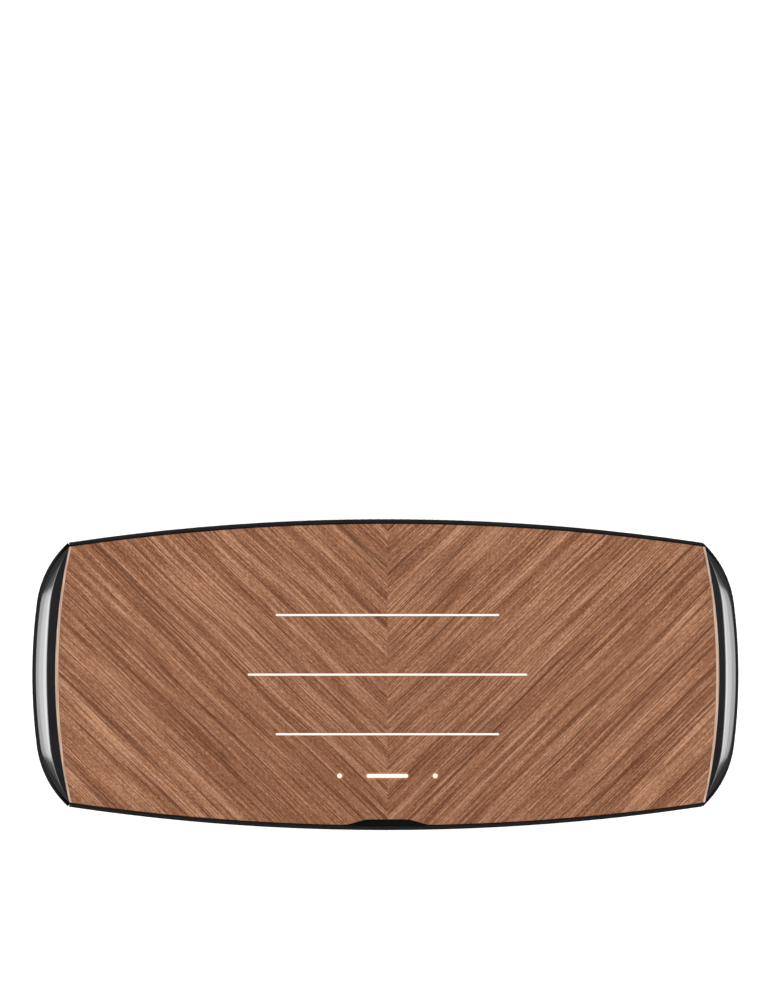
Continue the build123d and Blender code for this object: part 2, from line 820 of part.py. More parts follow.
# ---------------------------------------------------------------- rear cover and its plate
with BuildPart() as rear_cover:
    tube = (bay_width + 2 * bay_wall, bay_height + 2 * bay_wall)
    bay_place = [(0, plate_centre)]
    block(rear_view(plate_y), tube, half_depth, bay_corner + bay_wall, bay_place)
    long_panel(front_heights, 0, half_depth - plate_y + long_taper, 1, Mode.INTERSECT)
    long_panel(front_heights, 0, rear_wall, 1)
    bay = (bay_width, bay_height)
    block(rear_view(plate_y), bay, half_depth, bay_corner, bay_place, Mode.SUBTRACT)
    vents = [
        ((i - (vent_count - 1) / 2) * vent_pitch, frame_bottom - vent_below_frame)
        for i in range(vent_count)
    ]
    with BuildSketch(rear_view(plate_y)):
        with Locations(*vents):
            SlotOverall(vent_height, vent_width, rotation=90)
    extrude(amount=half_depth, mode=Mode.SUBTRACT)
save(rear_cover, "rear_cover")

with BuildPart() as connector_plate:
    block(rear_view(plate_y), tube, -plate_thickness, bay_corner + bay_wall, bay_place)
    for u, size in (
        (inlet_u, inlet_body),
        (switch_u, switch_body),
        (hdmi_u, hdmi_body),
        (lan_u, lan_body),
    ):
        hole = (size[0] + 2 * socket_gap, size[1] + 2 * socket_gap)
        block(rear_view(plate_y), hole, -plate_thickness, 0, [(u, plate_centre)], Mode.SUBTRACT)
    for u, radius in ((button_u, button_radius + button_gap), (line_u, line_collar + socket_gap)):
        post(rear_view(plate_y), radius, -plate_thickness, [(u, plate_centre)], Mode.SUBTRACT)
save(connector_plate, "connector_plate")

# ---------------------------------------------------------------- sockets
socket_face = plate_y + socket_proud
plate_back = plate_y - plate_thickness


def at_u(u, up=0.0):
    """The one place at u on the plate's middle line, or up from it."""
    return [(u, plate_centre + up)]


with BuildPart() as mains_inlet:
    flange_face = plate_y + inlet_flange_thickness
    block(rear_view(main_board_y), inlet_body, plate_y - main_board_y, 2, at_u(inlet_u))
    block(rear_view(plate_y), inlet_flange, inlet_flange_thickness, 3, at_u(inlet_u))
    with BuildSketch(rear_view(flange_face)):
        with Locations(*at_u(inlet_u)):
            SlotOverall(*inlet_slot)
    extrude(amount=-inlet_depth, mode=Mode.SUBTRACT)
    pins = [(inlet_u + side * inlet_pin_spacing / 2, plate_centre) for side in (-1, 1)]
    post(rear_view(flange_face - inlet_depth), inlet_pin_radius, inlet_pin_length, pins)
save(mains_inlet, "mains_inlet")

with BuildPart() as hdmi_socket:
    depth = socket_face - main_board_y
    block(rear_view(main_board_y), hdmi_body, depth, 0.8, at_u(hdmi_u))
    block(rear_view(socket_face), hdmi_opening, -hdmi_depth, 0.4, at_u(hdmi_u), Mode.SUBTRACT)
    block(rear_view(socket_face - hdmi_depth), hdmi_tongue, hdmi_tongue_length, 0, at_u(hdmi_u))
save(hdmi_socket, "hdmi_socket")

with BuildPart() as lan_socket:
    block(rear_view(main_board_y), lan_body, socket_face - main_board_y, 0.8, at_u(lan_u))
    block(rear_view(socket_face), lan_opening, -lan_depth, 0, at_u(lan_u), Mode.SUBTRACT)
    latch_up = -(lan_opening[1] + lan_latch[1]) / 2
    block(rear_view(socket_face), lan_latch, -lan_depth, 0, at_u(lan_u, latch_up), Mode.SUBTRACT)
save(lan_socket, "lan_socket")

with BuildPart() as line_socket:
    block(rear_view(main_board_y), line_body, plate_back - main_board_y, 0.8, at_u(line_u))
    post(rear_view(plate_back), line_collar, socket_face - plate_back, at_u(line_u))
    post(rear_view(socket_face), line_bore, -line_depth, at_u(line_u), Mode.SUBTRACT)
save(line_socket, "line_socket")

# ---------------------------------------------------------------- power switch and set-up button
switch_face = plate_y + switch_flange_thickness
pivot = Vector(-switch_u, switch_face - rocker_pivot_in, plate_centre)
pocket = (switch_body[0] - 2 * switch_wall, switch_body[1] - 2 * switch_wall)
rocker_width = pocket[0] - 2 * rocker_gap
pin_length = rocker_width + 2 * rocker_pin_reach

with BuildPart() as power_switch:
    block(rear_view(switch_face - switch_depth), switch_body, switch_depth, 1, at_u(switch_u))
    block(rear_view(plate_y), switch_flange, switch_flange_thickness, 2, at_u(switch_u))
    block(rear_view(switch_face), pocket, -switch_pocket, 0, at_u(switch_u), Mode.SUBTRACT)
    pin_plane = Plane(origin=pivot - Vector(pin_length / 2 + rocker_pin_gap, 0, 0), z_dir=(1, 0, 0))
    post(
        pin_plane,
        rocker_pin + rocker_pin_gap,
        pin_length + 2 * rocker_pin_gap,
        mode=Mode.SUBTRACT,
    )
save(power_switch, "power_switch")

with BuildPart() as power_rocker:
    tilt = math.radians(rocker_tilt)
    outward = (0, math.cos(tilt), math.sin(tilt))
    rocker_at = Plane(origin=pivot, x_dir=outward, z_dir=(1, 0, 0))
    with BuildSketch(rocker_at):
        with BuildLine():
            Polyline(
                (rocker_pivot_in - rocker_dip, 0),
                (rocker_pivot_in + rocker_proud, rocker_half),
                (-rocker_back, rocker_back_half),
                (-rocker_back, -rocker_back_half),
                (rocker_pivot_in + rocker_proud, -rocker_half),
                close=True,
            )
        make_face()
    extrude(amount=rocker_width / 2, both=True)
    with BuildSketch(rocker_at):
        Circle(rocker_pin)
    extrude(amount=pin_length / 2, both=True)
save(power_rocker, "power_rocker")

with BuildPart() as setup_button:
    skirt_back = plate_back - button_skirt
    post(rear_view(skirt_back), button_skirt_radius, button_skirt, at_u(button_u))
    post(rear_view(plate_back), button_radius, plate_thickness + button_proud, at_u(button_u))
    post(rear_view(skirt_back), button_stem, -button_stem_length, at_u(button_u))
    fillet(setup_button.edges().sort_by(Axis.Y)[-1], button_gap * 2)
save(setup_button, "setup_button")

# ---------------------------------------------------------------- boards in the rear bay
with BuildPart() as main_board:
    block(rear_view(main_board_y), main_board_size, -board_thickness, 0, at_u(0))
    chip_up = (bay_height - chip_size) / 2
    chips = [(i * chip_spacing, plate_centre + chip_up) for i in (-1, 0, 1)]
    block(rear_view(main_board_y), (chip_size, chip_size), chip_height, 0, chips)
    contact = skirt_back - button_stem_length - button_travel - button_gap - main_board_y
    block(rear_view(main_board_y), (contact_size, contact_size), contact, 0, at_u(button_u))
save(main_board, "main_board")

with BuildPart() as power_board:
    face = rear_view(side_board_y)
    block(face, side_board, -board_thickness, 0, [(-side_board_u, side_board_z)])
    left = [(-side_board_u - side_board[0] / 5, side_board_z)]
    block(face, power_block, power_block_height, 2, left)
    column = [
        (-side_board_u + side_board[0] / 5, side_board_z + i * capacitor_pitch) for i in (-1, 0, 1)
    ]
    post(face, capacitor_radius, capacitor_height, column)
save(power_board, "power_board")

sink_size = (side_board[0] - 2 * sink_margin, side_board[1] - 2 * sink_margin)
with BuildPart() as amplifier_board:
    block(face, side_board, -board_thickness, 0, [(side_board_u, side_board_z)])
    pair = [(side_board_u + i * sink_size[0] / 4, side_board_z) for i in (-1, 1)]
    block(face, (chip_size, chip_size), amplifier_chip, 0, pair)
save(amplifier_board, "amplifier_board")

with BuildPart() as amplifier_heatsink:
    sink_y = side_board_y + amplifier_chip
    block(rear_view(sink_y), sink_size, sink_base, 0, [(side_board_u, side_board_z)])
    spread = between(-(sink_size[0] - sink_fin) / 2, (sink_size[0] - sink_fin) / 2, sink_fins)
    fins = [(side_board_u + offset_u, side_board_z) for offset_u in spread]
    block(rear_view(sink_y + sink_base), (sink_fin, sink_size[1]), sink_fin_height, 0, fins)
save(amplifier_heatsink, "amplifier_heatsink")

# ---------------------------------------------------------------- lights, their board, the deck
light_lines = {
    "light_line_rear": (line_short, line_width, [(0, line_pitch)]),
    "light_line_middle": (line_long, line_width, [(0, 0)]),
    "light_line_front": (line_short, line_width, [(0, -line_pitch)]),
    "light_bar": (bar_length, bar_width, [(0, controls_y)]),
    "touch_dots": (
        dot_diameter,
        dot_diameter,
        [(side * dot_spacing / 2, controls_y) for side in (-1, 1)],
    ),
}


def rounded_bar(z, length, width, places, height, mode=Mode.ADD):
    """Extrudes a bar with round ends, or a disc where it is as long as wide."""
    with BuildSketch(Plane.XY.offset(z)) as outline:
        with Locations(*places):
            if length > width:
                SlotOverall(length, width)
            else:
                Circle(width / 2)
    extrude(outline.sketch, amount=height, mode=mode)


for name, (length, width, places) in light_lines.items():
    with BuildPart() as guide:
        foot_size = (length + 2 * light_flange, width + 2 * light_flange)
        rounded_bar(frame_bottom - light_foot, *foot_size, places, light_foot)
        rounded_bar(frame_bottom, length, width, places, deck_top - frame_bottom)
    save(guide, name)

with BuildPart() as sensor_board:
    board_face = Plane.XY.offset(board_top)
    block(board_face, sensor_board_size, -board_thickness, 0, [(0, sensor_board_y)])
    for length, width, places in light_lines.values():
        count = max(1, round(length / led_pitch))
        pitch = length / count
        leds = [(x + (i - (count - 1) / 2) * pitch, y) for x, y in places for i in range(count)]
        block(board_face, (led_size, led_size), led_height, 0, leds)
save(sensor_board, "sensor_board")

deck_loop = inset(body(deck_seat), deck_edge_gap)
deck_corner = corner_x - inlay_corner_width
deck_end = half_length - deck_end_in
deck_loop = shortened(deck_loop, deck_corner, deck_end, deck_bow_radius)


def badge_land(gap):
    """Face of the smooth rise cut out of the front middle of the deck, smaller by gap."""
    width, rise = badge_half_width - gap, badge_rise - gap
    front = -deck_loop.middle_y
    foot = -bow_y(deck_loop, badge_half_width)
    with BuildSketch(Plane.XY.offset(deck_seat)) as face:
        with BuildLine():
            Spline((-width, foot), (-badge_flat, front + rise), tangents=((1, 0), (1, 0)))
            Line((-badge_flat, front + rise), (badge_flat, front + rise))
            Spline((badge_flat, front + rise), (width, foot), tangents=((1, 0), (1, 0)))
            Polyline((width, foot), (width, -half_depth), (-width, -half_depth), (-width, foot))
        make_face()
    return face.sketch


def cut_light_slots(z, height):
    """Cuts the slots of all the light guides, from height z upwards."""
    for length, width, places in light_lines.values():
        slot = (length + 2 * light_gap, width + 2 * light_gap)
        rounded_bar(z, *slot, places, height, Mode.SUBTRACT)


with BuildPart() as top_frame:
    frame_end = deck_end + inlay_width
    frame_loop = body(deck_seat)._replace(end_x=frame_end, bow=inlay_bow_radius)
    low_loop = body(frame_bottom)._replace(end_x=frame_end, bow=inlay_bow_radius)
    loft([loop_face(low_loop, frame_bottom), loop_face(frame_loop, deck_seat)], ruled=True)
    with BuildSketch(Plane.XY.offset(deck_seat)) as land:
        add(loop_face(frame_loop, deck_seat))
        add(badge_land(badge_gap), mode=Mode.INTERSECT)
    extrude(land.sketch, amount=deck_thickness - badge_below_deck)
    cut_light_slots(frame_bottom, frame_thickness)
save(top_frame, "top_frame")

with BuildPart() as deck_panel:
    extrude(loop_face(deck_loop, deck_seat), amount=deck_thickness)
    extrude(badge_land(0), amount=deck_thickness, mode=Mode.SUBTRACT)
    cut_light_slots(deck_seat, deck_thickness)
save(deck_panel, "deck_panel")

for end, side in ENDS:
    with BuildPart() as deck_inlay:
        inner = deck_loop._replace(end_x=deck_end + inlay_gap, corner_x=deck_corner + inlay_gap)
        outer = Loop(corner_x, bow_y(deck_loop, corner_x), 0, frame_end, inlay_bow_radius)
        with BuildSketch(Plane.XY.offset(deck_seat)):
            with BuildLine():
                for loop in (inner, outer):
                    end_bows(loop, side)
                for up in (1, -1):
                    Line(*[(side * loop.corner_x, up * loop.corner_y) for loop in (inner, outer)])
            make_face()
        extrude(amount=deck_thickness)
    save(deck_inlay, f"deck_inlay_{end}")
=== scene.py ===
"""Finishes a wide, hull-shaped speaker: its veneered deck, shoulders, grilles, case and insides.

Lengths inside the classes are millimetres in the row frame (+X right, -Y front, +Z up) and
become metres when a surface is put into a mesh.
"""

from __future__ import annotations

import json
import logging
import math
from dataclasses import dataclass, field, replace
from enum import Enum
from typing import Callable, Sequence

import bmesh
import bpy
import numpy as np
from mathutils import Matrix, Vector
from mathutils.geometry import delaunay_2d_cdt

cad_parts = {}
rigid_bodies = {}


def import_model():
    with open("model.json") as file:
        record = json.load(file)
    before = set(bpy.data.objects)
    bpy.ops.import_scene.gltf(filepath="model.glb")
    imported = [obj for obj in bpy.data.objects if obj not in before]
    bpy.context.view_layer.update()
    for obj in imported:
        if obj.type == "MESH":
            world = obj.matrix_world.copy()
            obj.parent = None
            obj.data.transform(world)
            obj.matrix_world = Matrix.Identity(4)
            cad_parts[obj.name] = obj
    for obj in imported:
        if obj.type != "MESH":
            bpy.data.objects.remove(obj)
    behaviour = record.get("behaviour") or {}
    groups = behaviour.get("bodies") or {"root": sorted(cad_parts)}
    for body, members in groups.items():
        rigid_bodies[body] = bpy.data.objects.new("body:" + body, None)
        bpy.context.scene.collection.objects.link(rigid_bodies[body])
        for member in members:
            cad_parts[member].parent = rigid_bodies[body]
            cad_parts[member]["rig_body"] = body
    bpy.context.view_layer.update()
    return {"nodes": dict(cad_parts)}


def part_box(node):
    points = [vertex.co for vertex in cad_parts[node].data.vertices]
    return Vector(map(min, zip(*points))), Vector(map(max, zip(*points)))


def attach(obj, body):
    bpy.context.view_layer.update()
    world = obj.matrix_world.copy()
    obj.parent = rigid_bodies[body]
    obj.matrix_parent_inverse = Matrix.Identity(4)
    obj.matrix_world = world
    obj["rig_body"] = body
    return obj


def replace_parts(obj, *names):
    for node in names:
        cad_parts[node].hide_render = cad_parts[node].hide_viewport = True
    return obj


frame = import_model()

Array = np.ndarray
Colour = tuple[float, float, float]
Socket = bpy.types.NodeSocket
Object = bpy.types.Object
Material = bpy.types.Material
NodeTree = bpy.types.NodeTree
Node = bpy.types.Node
Place = Callable[[Array, Array, Array], Array]
Point2 = tuple[float, float]
Point3 = tuple[float, float, float]

log = logging.getLogger("speaker")

METRE = 0.001
WELD = 1e-7
CREASE = math.radians(38)
EASE_STEPS = 6
BAR_STEPS = 12
SURFACE = "surface"
DUST = (0.2, 0.19, 0.18)
BLACK = (0.0, 0.0, 0.0)
ENDS = (("left", -1), ("right", 1))


# ---------------------------------------------------------------- meshes
def low(node: str) -> Array:
    """Lowest corner of a CAD node, in millimetres."""
    return np.array(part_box(node)[0]) / METRE


def high(node: str) -> Array:
    """Highest corner of a CAD node, in millimetres."""
    return np.array(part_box(node)[1]) / METRE


def quads(rows: int, columns: int, wrap: bool = False) -> Array:
    """Corner numbers of the quads of a grid whose points run along its rows.

    Args:
        rows: Number of rows of points.
        columns: Points in a row.
        wrap: Whether the last column joins the first.

    Returns:
        An array of shape (quads, 4).
    """
    row, column = np.mgrid[0 : rows - 1, 0 : columns if wrap else columns - 1]
    beside = (column + 1) % columns
    corners = (row * columns + column, row * columns + beside)
    above = (corners[1] + columns, corners[0] + columns)
    return np.stack([*corners, *above], axis=-1).reshape(-1, 4)


def piece(name: str, points: Array, faces: Sequence[Array], uv: Array | None = None) -> Object:
    """Makes a welded, outward-facing mesh object of points and faces, at the origin.

    Args:
        name: Name of the piece.
        points: Points in millimetres, shape (n, 3).
        faces: Arrays of corner numbers, each of shape (faces, 3) or (faces, 4).
        uv: Pattern coordinates of the points in metres, shape (n, 2).

    Returns:
        The new object, linked to the scene and shaded smooth up to its creases.
    """
    mesh = bpy.data.meshes.new(name)
    corners = [corner for block in faces for corner in block.tolist()]
    mesh.from_pydata((points.reshape(-1, 3) * METRE).tolist(), [], corners)
    if uv is not None:
        layer = mesh.uv_layers.new(name=SURFACE)
        at = np.empty(len(mesh.loops), np.int32)
        mesh.loops.foreach_get("vertex_index", at)
        layer.data.foreach_set("uv", uv.reshape(-1, 2)[at].astype(np.float32).ravel())
    work = bmesh.new()
    work.from_mesh(mesh)
    bmesh.ops.remove_doubles(work, verts=work.verts, dist=WELD)
    bmesh.ops.recalc_face_normals(work, faces=work.faces)
    work.to_mesh(mesh)
    work.free()
    mesh.shade_smooth()
    mesh.set_sharp_from_angle(angle=CREASE)
    made = bpy.data.objects.new(name, mesh)
    bpy.context.scene.collection.objects.link(made)
    return made


def spaced(length: float, edge: float, count: int) -> Array:
    """Parameters from 0 to 1, close together within edge of both ends and even between.

    The crowded ones are edge * (1 - cos(angle)) for even angles up to a right angle.

    Args:
        length: Real length of the run.
        edge: How far the rounding reaches in from each end.
        count: Number of even steps between.

    Returns:
        The sorted parameters.
    """
    share = edge / length
    near = share * (1 - np.cos(np.linspace(0, math.pi / 2, EASE_STEPS - 1)))
    return np.unique(np.concatenate([near, np.linspace(share, 1 - share, count), 1 - near]))


def slab(
    name: str,
    place: Place,
    size: Point2,
    count: tuple[int, int],
    thickness: float,
    roll: float,
) -> Object:
    """A closed sheet that follows a surface, with its four edges rolled over.

    A point (u, v) of either skin lies at depth e or thickness - e under the surface, where e
    is a quarter-ellipse of the distance to the nearest edge: half the thickness at the edge
    and nothing beyond roll.

    Args:
        name: Name of the piece.
        place: Gives points in millimetres for u, v (0 to 1) and depth.
        size: Real length of the sheet in u and v.
        count: Even steps in u and v.
        thickness: Distance between the two skins.
        roll: How far the rolled edge reaches in.

    Returns:
        The new object.
    """
    u = spaced(size[0], roll, count[0])[:, None]
    v = spaced(size[1], roll, count[1])[None, :]
    to_edge = np.minimum(np.minimum(u, 1 - u) * size[0], np.minimum(v, 1 - v) * size[1])
    over = thickness / 2 * (1 - np.sqrt(1 - (1 - np.clip(to_edge / roll, 0, 1)) ** 2))
    skins = [place(u, v, over), place(u, v, thickness - over)]
    rows, columns = over.shape
    flat = np.stack(np.broadcast_arrays(v * size[1], u * size[0]), axis=-1) * METRE
    grid = quads(rows, columns)
    back = grid[:, ::-1] + rows * columns
    return piece(name, np.stack(skins), [grid, back], np.stack([flat, flat]))


def inside(points: Array, ring: Array) -> Array:
    """Even-odd test of points (n, 2) against a closed ring (m, 2).

    Args:
        points: Points, shape (n, 2).
        ring: Closed ring, shape (m, 2).

    Returns:
        A truth value for each point.
    """
    following = np.roll(ring, -1, axis=0)
    x, y = points[:, :1], points[:, 1:]
    spans = (ring[:, 1] > y) != (following[:, 1] > y)
    drop = np.where(following[:, 1] == ring[:, 1], 1.0, following[:, 1] - ring[:, 1])
    cross = ring[:, 0] + (y - ring[:, 1]) * (following[:, 0] - ring[:, 0]) / drop
    return (np.sum(spans & (x < cross), axis=1) % 2) == 1


def region(outline: Array, holes: Sequence[Array]) -> tuple[Array, Array]:
    """Triangles that fill an outline around its holes.

    Args:
        outline: Closed outline, shape (n, 2).
        holes: Closed outlines of the holes.

    Returns:
        The points of all rings in their order, and the triangles between them.
    """
    rings = [outline, *holes]
    starts = np.cumsum([0, *map(len, rings)])
    edges = [
        np.stack([np.arange(len(ring)), np.roll(np.arange(len(ring)), -1)], axis=1) + start
        for ring, start in zip(rings, starts)
    ]
    points = np.concatenate(rings)
    made = delaunay_2d_cdt(points.tolist(), np.concatenate(edges).tolist(), [], 0, 1e-6)
    triangles = np.array(made[2])
    middle = np.array([tuple(corner) for corner in made[0]])[triangles].mean(axis=1)
    kept = inside(middle, outline)
    for hole in holes:
        kept &= ~inside(middle, hole)
    source = np.array([first[0] for first in made[3]])
    return points, source[triangles[kept]]


def outward(ring: Array) -> Array:
    """Unit normals of a closed ring (n, 2), to the right of the way it runs.

    Args:
        ring: Closed ring, shape (n, 2).

    Returns:
        The normals, shape (n, 2).
    """
    along = np.roll(ring, -1, axis=0) - np.roll(ring, 1, axis=0)
    along /= np.linalg.norm(along, axis=1, keepdims=True)
    return np.stack([along[:, 1], -along[:, 0]], axis=1)


def plate(
    name: str, outline: Array, holes: Sequence[Array], bottom: float, top: float, ease: float
) -> Object:
    """A flat plate with eased top edges, round its outline and round each hole.

    Each wall is a profile carried round its ring: straight up from the bottom, then a
    quarter circle of the ease's radius in to the flat top.

    Args:
        name: Name of the piece.
        outline: Anticlockwise outline, shape (n, 2).
        holes: Clockwise outlines of the holes.
        bottom: Height of the underside.
        top: Height of the top.
        ease: Radius of the eased edge.

    Returns:
        The new object.
    """
    turn = np.linspace(0, math.pi / 2, EASE_STEPS)
    walls, tops = [], []
    for ring, radius in [(outline, ease), *((hole, ease / 2) for hole in holes)]:
        move = np.concatenate([[0.0], radius * (1 - np.cos(turn))])
        rise = np.concatenate([[bottom], top - radius + radius * np.sin(turn)])
        level = ring[None] - outward(ring)[None] * move[:, None, None]
        walls.append(np.dstack([level, np.broadcast_to(rise[:, None], level.shape[:2])]))
        tops.append(level[-1])
    points = [wall.reshape(-1, 3) for wall in walls]
    faces = []
    start = 0
    for wall in walls:
        faces.append(quads(wall.shape[0], wall.shape[1], wrap=True) + start)
        start += wall.shape[0] * wall.shape[1]
    for rings, height in ((tops, top), ([outline, *holes], bottom)):
        flat, triangles = region(rings[0], rings[1:])
        points.append(np.column_stack([flat, np.full(len(flat), height)]))
        faces.append(triangles + start)
        start += len(flat)
    return piece(name, np.concatenate(points), faces)


def stacked(name: str, stacks: Sequence[Array]) -> Object:
    """Joins stacks of closed rings, each of shape (rings, points, 3), into one piece.

    Args:
        name: Name of the piece.
        stacks: The stacks.

    Returns:
        The new object.
    """
    faces, start = [], 0
    for stack in stacks:
        faces.append(quads(stack.shape[0], stack.shape[1], wrap=True) + start)
        start += stack.shape[0] * stack.shape[1]
    return piece(name, np.concatenate([stack.reshape(-1, 3) for stack in stacks]), faces)


def rounded_bar(middle: Point2, length: float, width: float, count: int = BAR_STEPS) -> Array:
    """Outline of a bar with half-round ends, anticlockwise, shape (2 * count, 2).

    Each end is a half circle of half the width about a point that lies half the width in
    from the bar's end; with no width left, both sides fall on the middle line.

    Args:
        middle: Middle of the bar.
        length: Its whole length.
        width: Its width.
        count: Points in each half circle.

    Returns:
        The outline.
    """
    turn = np.linspace(-math.pi / 2, math.pi / 2, count)
    reach = (length - width) / 2
    end = np.stack([reach + width / 2 * np.cos(turn), width / 2 * np.sin(turn)], axis=1)
    return np.concatenate([end, -end]) + np.array(middle)


def lathe(middle: Point2, profile: Sequence[tuple[float, float]], count: int) -> Array:
    """Rings of a profile of (radius, height) turned about a vertical axis through middle.

    Args:
        middle: Where the axis stands.
        profile: The radii and heights, in order.
        count: Points in a ring.

    Returns:
        The rings, shape (profile, count, 3).
    """
    turn = np.linspace(0, math.tau, count, endpoint=False)
    radius, height = np.array(profile).T[:, :, None]
    level = np.broadcast_to(height, (len(profile), count))
    x, y = middle[0] + radius * np.cos(turn), middle[1] + radius * np.sin(turn)
    return np.stack([x, y, level], axis=-1)


# ---------------------------------------------------------------- hull
@dataclass(frozen=True)
class Loop:
    """One closed outline of the hull: long bows front and rear, flat bows at the ends.

    Every field may be an array, one value for each height.
    """

    corner_x: Array | float
    corner_y: Array | float
    middle_y: Array | float
    end_x: Array | float
    bow: Array | float
    shoulder: float = 55.4
    mitre: Point2 = (0.5, 0.93)

    def inset(self, depth: Array | float) -> Loop:
        """The loop moved in by depth, with its corners on the mitre.

        Args:
            depth: How far every face moves in.

        Returns:
            The smaller loop.
        """
        return Loop(
            self.corner_x - self.mitre[0] * depth,
            self.corner_y - self.mitre[1] * depth,
            self.middle_y - depth,
            self.end_x - depth,
            self.bow,
        )

    def bow_y(self, x: Array | float) -> Array:
        """Distance of the long bow from the X axis: a circle through the corners and middle.

        Args:
            x: Distance along the X axis.

        Returns:
            The distance.
        """
        rise = self.middle_y - self.corner_y
        radius = (self.corner_x**2 + rise**2) / (2 * rise)
        return self.middle_y - radius + np.sqrt(radius**2 - x**2)

    def end(self, s: Array) -> tuple[Array, Array]:
        """Points of the right-hand end for s from -1 (front corner) to 1 (rear corner).

        Equal steps of s are equal lengths of the outline: a flat arc about the X axis, then
        on each side an arc tangent to it that ends in the corner.

        Args:
            s: Places along the end.

        Returns:
            X and Y of the points.
        """
        rise = self.corner_y - self.shoulder
        lean = np.arcsin(rise / self.bow)
        centre = self.end_x - self.bow
        start = np.stack(np.broadcast_arrays(centre + self.bow * np.cos(lean), rise))
        normal = -np.stack(np.broadcast_arrays(np.cos(lean), np.sin(lean)))
        chord = np.stack(np.broadcast_arrays(self.corner_x, self.corner_y)) - start
        radius = (chord**2).sum(0) / (2 * (chord * normal).sum(0))
        hub = start + radius * normal
        last = np.arctan2(self.corner_y - hub[1], self.corner_x - hub[0])
        flat, tight = self.bow * lean, radius * (last - lean)
        run = np.abs(s) * (flat + tight)
        on_flat = run < flat
        turn = np.where(on_flat, run / self.bow, lean + (run - flat) / radius)
        x = np.where(on_flat, centre + self.bow * np.cos(turn), hub[0] + radius * np.cos(turn))
        y = np.where(on_flat, self.bow * np.sin(turn), hub[1] + radius * np.sin(turn))
        return x, np.sign(s) * y


@dataclass(frozen=True)
class Hull:
    """The body's outer form, worked out from the frame's own heights and widths."""

    half_length: float
    half_depth: float
    tray_bottom: float
    tray_top: float
    trim_bottom: float
    trim_top: float
    frame_bottom: float
    deck_seat: float
    deck_top: float
    below_trim: float = 6.0
    rim: float = 2.6
    seam: float = 0.4
    end_bow: float = 520.0
    corner_setback: float = 33.0
    corner_drop: float = 21.6
    corner_lean: float = 3.9
    corner_taper: Point2 = (30.0, 20.4)
    long_lean: float = 4.4
    long_taper: float = 18.0
    end_taper: float = 35.0
    taper_power: float = 1.8

    @classmethod
    def from_frame(cls) -> Hull:
        """Reads the heights and widths from the CAD nodes.

        Returns:
            The hull.
        """
        return cls(
            half_length=round(high("end_cloth_right")[0], 1),
            half_depth=round(high("rear_cover")[1], 1),
            tray_bottom=low("base_tray")[2],
            tray_top=low("front_grille_cloth")[2],
            trim_bottom=low("shoulder_trim_right")[2],
            trim_top=high("shoulder_trim_right")[2],
            frame_bottom=high("mesh_band_right")[2],
            deck_seat=low("deck_panel")[2],
            deck_top=high("deck_panel")[2],
        )

    def body(self, z: Array | float) -> Loop:
        """The body's loop at height z.

        Above the gunwale the faces lean in with the square of the height, and below it they
        pull in with its taper power.

        Args:
            z: Height.

        Returns:
            The loop, with a value for each height.
        """
        gunwale = self.trim_bottom - self.below_trim
        lean = np.clip((z - gunwale) / (self.deck_seat - gunwale), 0, None) ** 2
        rim = np.clip((z - gunwale) / self.below_trim, 0, 1) ** 2
        pull = np.clip((gunwale - z) / (gunwale - self.tray_bottom), 0, None) ** self.taper_power
        corner_y = self.half_depth - self.corner_drop - self.corner_lean * lean
        return Loop(
            self.half_length - self.corner_setback - self.corner_taper[0] * pull,
            corner_y - self.corner_taper[1] * pull,
            self.half_depth - self.long_lean * lean - self.long_taper * pull,
            self.half_length - self.rim * rim - self.end_taper * pull,
            self.end_bow + 0 * pull,
        )

    def end_level(self, z: Array, end_x: Array, bow: Array, corner_in: float = 0.0) -> Loop:
        """The body's loop at height z with another end, and its corners moved in.

        Args:
            z: Height.
            end_x: Where the end's bow crosses the X axis.
            bow: Radius of that bow.
            corner_in: How far the corners move in.

        Returns:
            The changed loop.
        """
        loop = self.body(z).inset(corner_in)
        gap = self.seam / 2
        return replace(
            loop, corner_x=loop.corner_x + gap, corner_y=loop.corner_y - gap, end_x=end_x, bow=bow
        )

    def long_face(self, side: int) -> Place:
        """Surface of the front (side -1) or rear (side 1): u runs up, v across.

        Args:
            side: Which long face.

        Returns:
            A surface for slab.
        """

        def place(u: Array, v: Array, depth: Array) -> Array:
            """Points of the surface, in by depth.

            Args:
                u: Share of the way up, 0 to 1.
                v: Share of the way across, 0 to 1.
                depth: Depth under the surface.

            Returns:
                Points in millimetres, with a last axis of three.
            """
            z = self.tray_top + u * (self.frame_bottom - self.tray_top)
            loop = self.body(z).inset(depth)
            x = (2 * v - 1) * (loop.corner_x - self.seam)
            return np.stack(np.broadcast_arrays(x, side * loop.bow_y(x), z), axis=-1)

        return place

    def end_face(self, side: int) -> Place:
        """Surface of an end below the trim: u runs up, v from front to rear.

        Args:
            side: Which end.

        Returns:
            A surface for slab.
        """

        def place(u: Array, v: Array, depth: Array) -> Array:
            """Points of the surface, in by depth.

            Args:
                u: Share of the way up, 0 to 1.
                v: Share of the way across, 0 to 1.
                depth: Depth under the surface.

            Returns:
                Points in millimetres, with a last axis of three.
            """
            z = self.tray_top + u * (self.trim_bottom - self.tray_top)
            body = self.body(z)
            loop = self.end_level(z, body.end_x, body.bow).inset(depth)
            x, y = loop.end(2 * v - 1)
            return np.stack(np.broadcast_arrays(side * x, y, z), axis=-1)

        return place


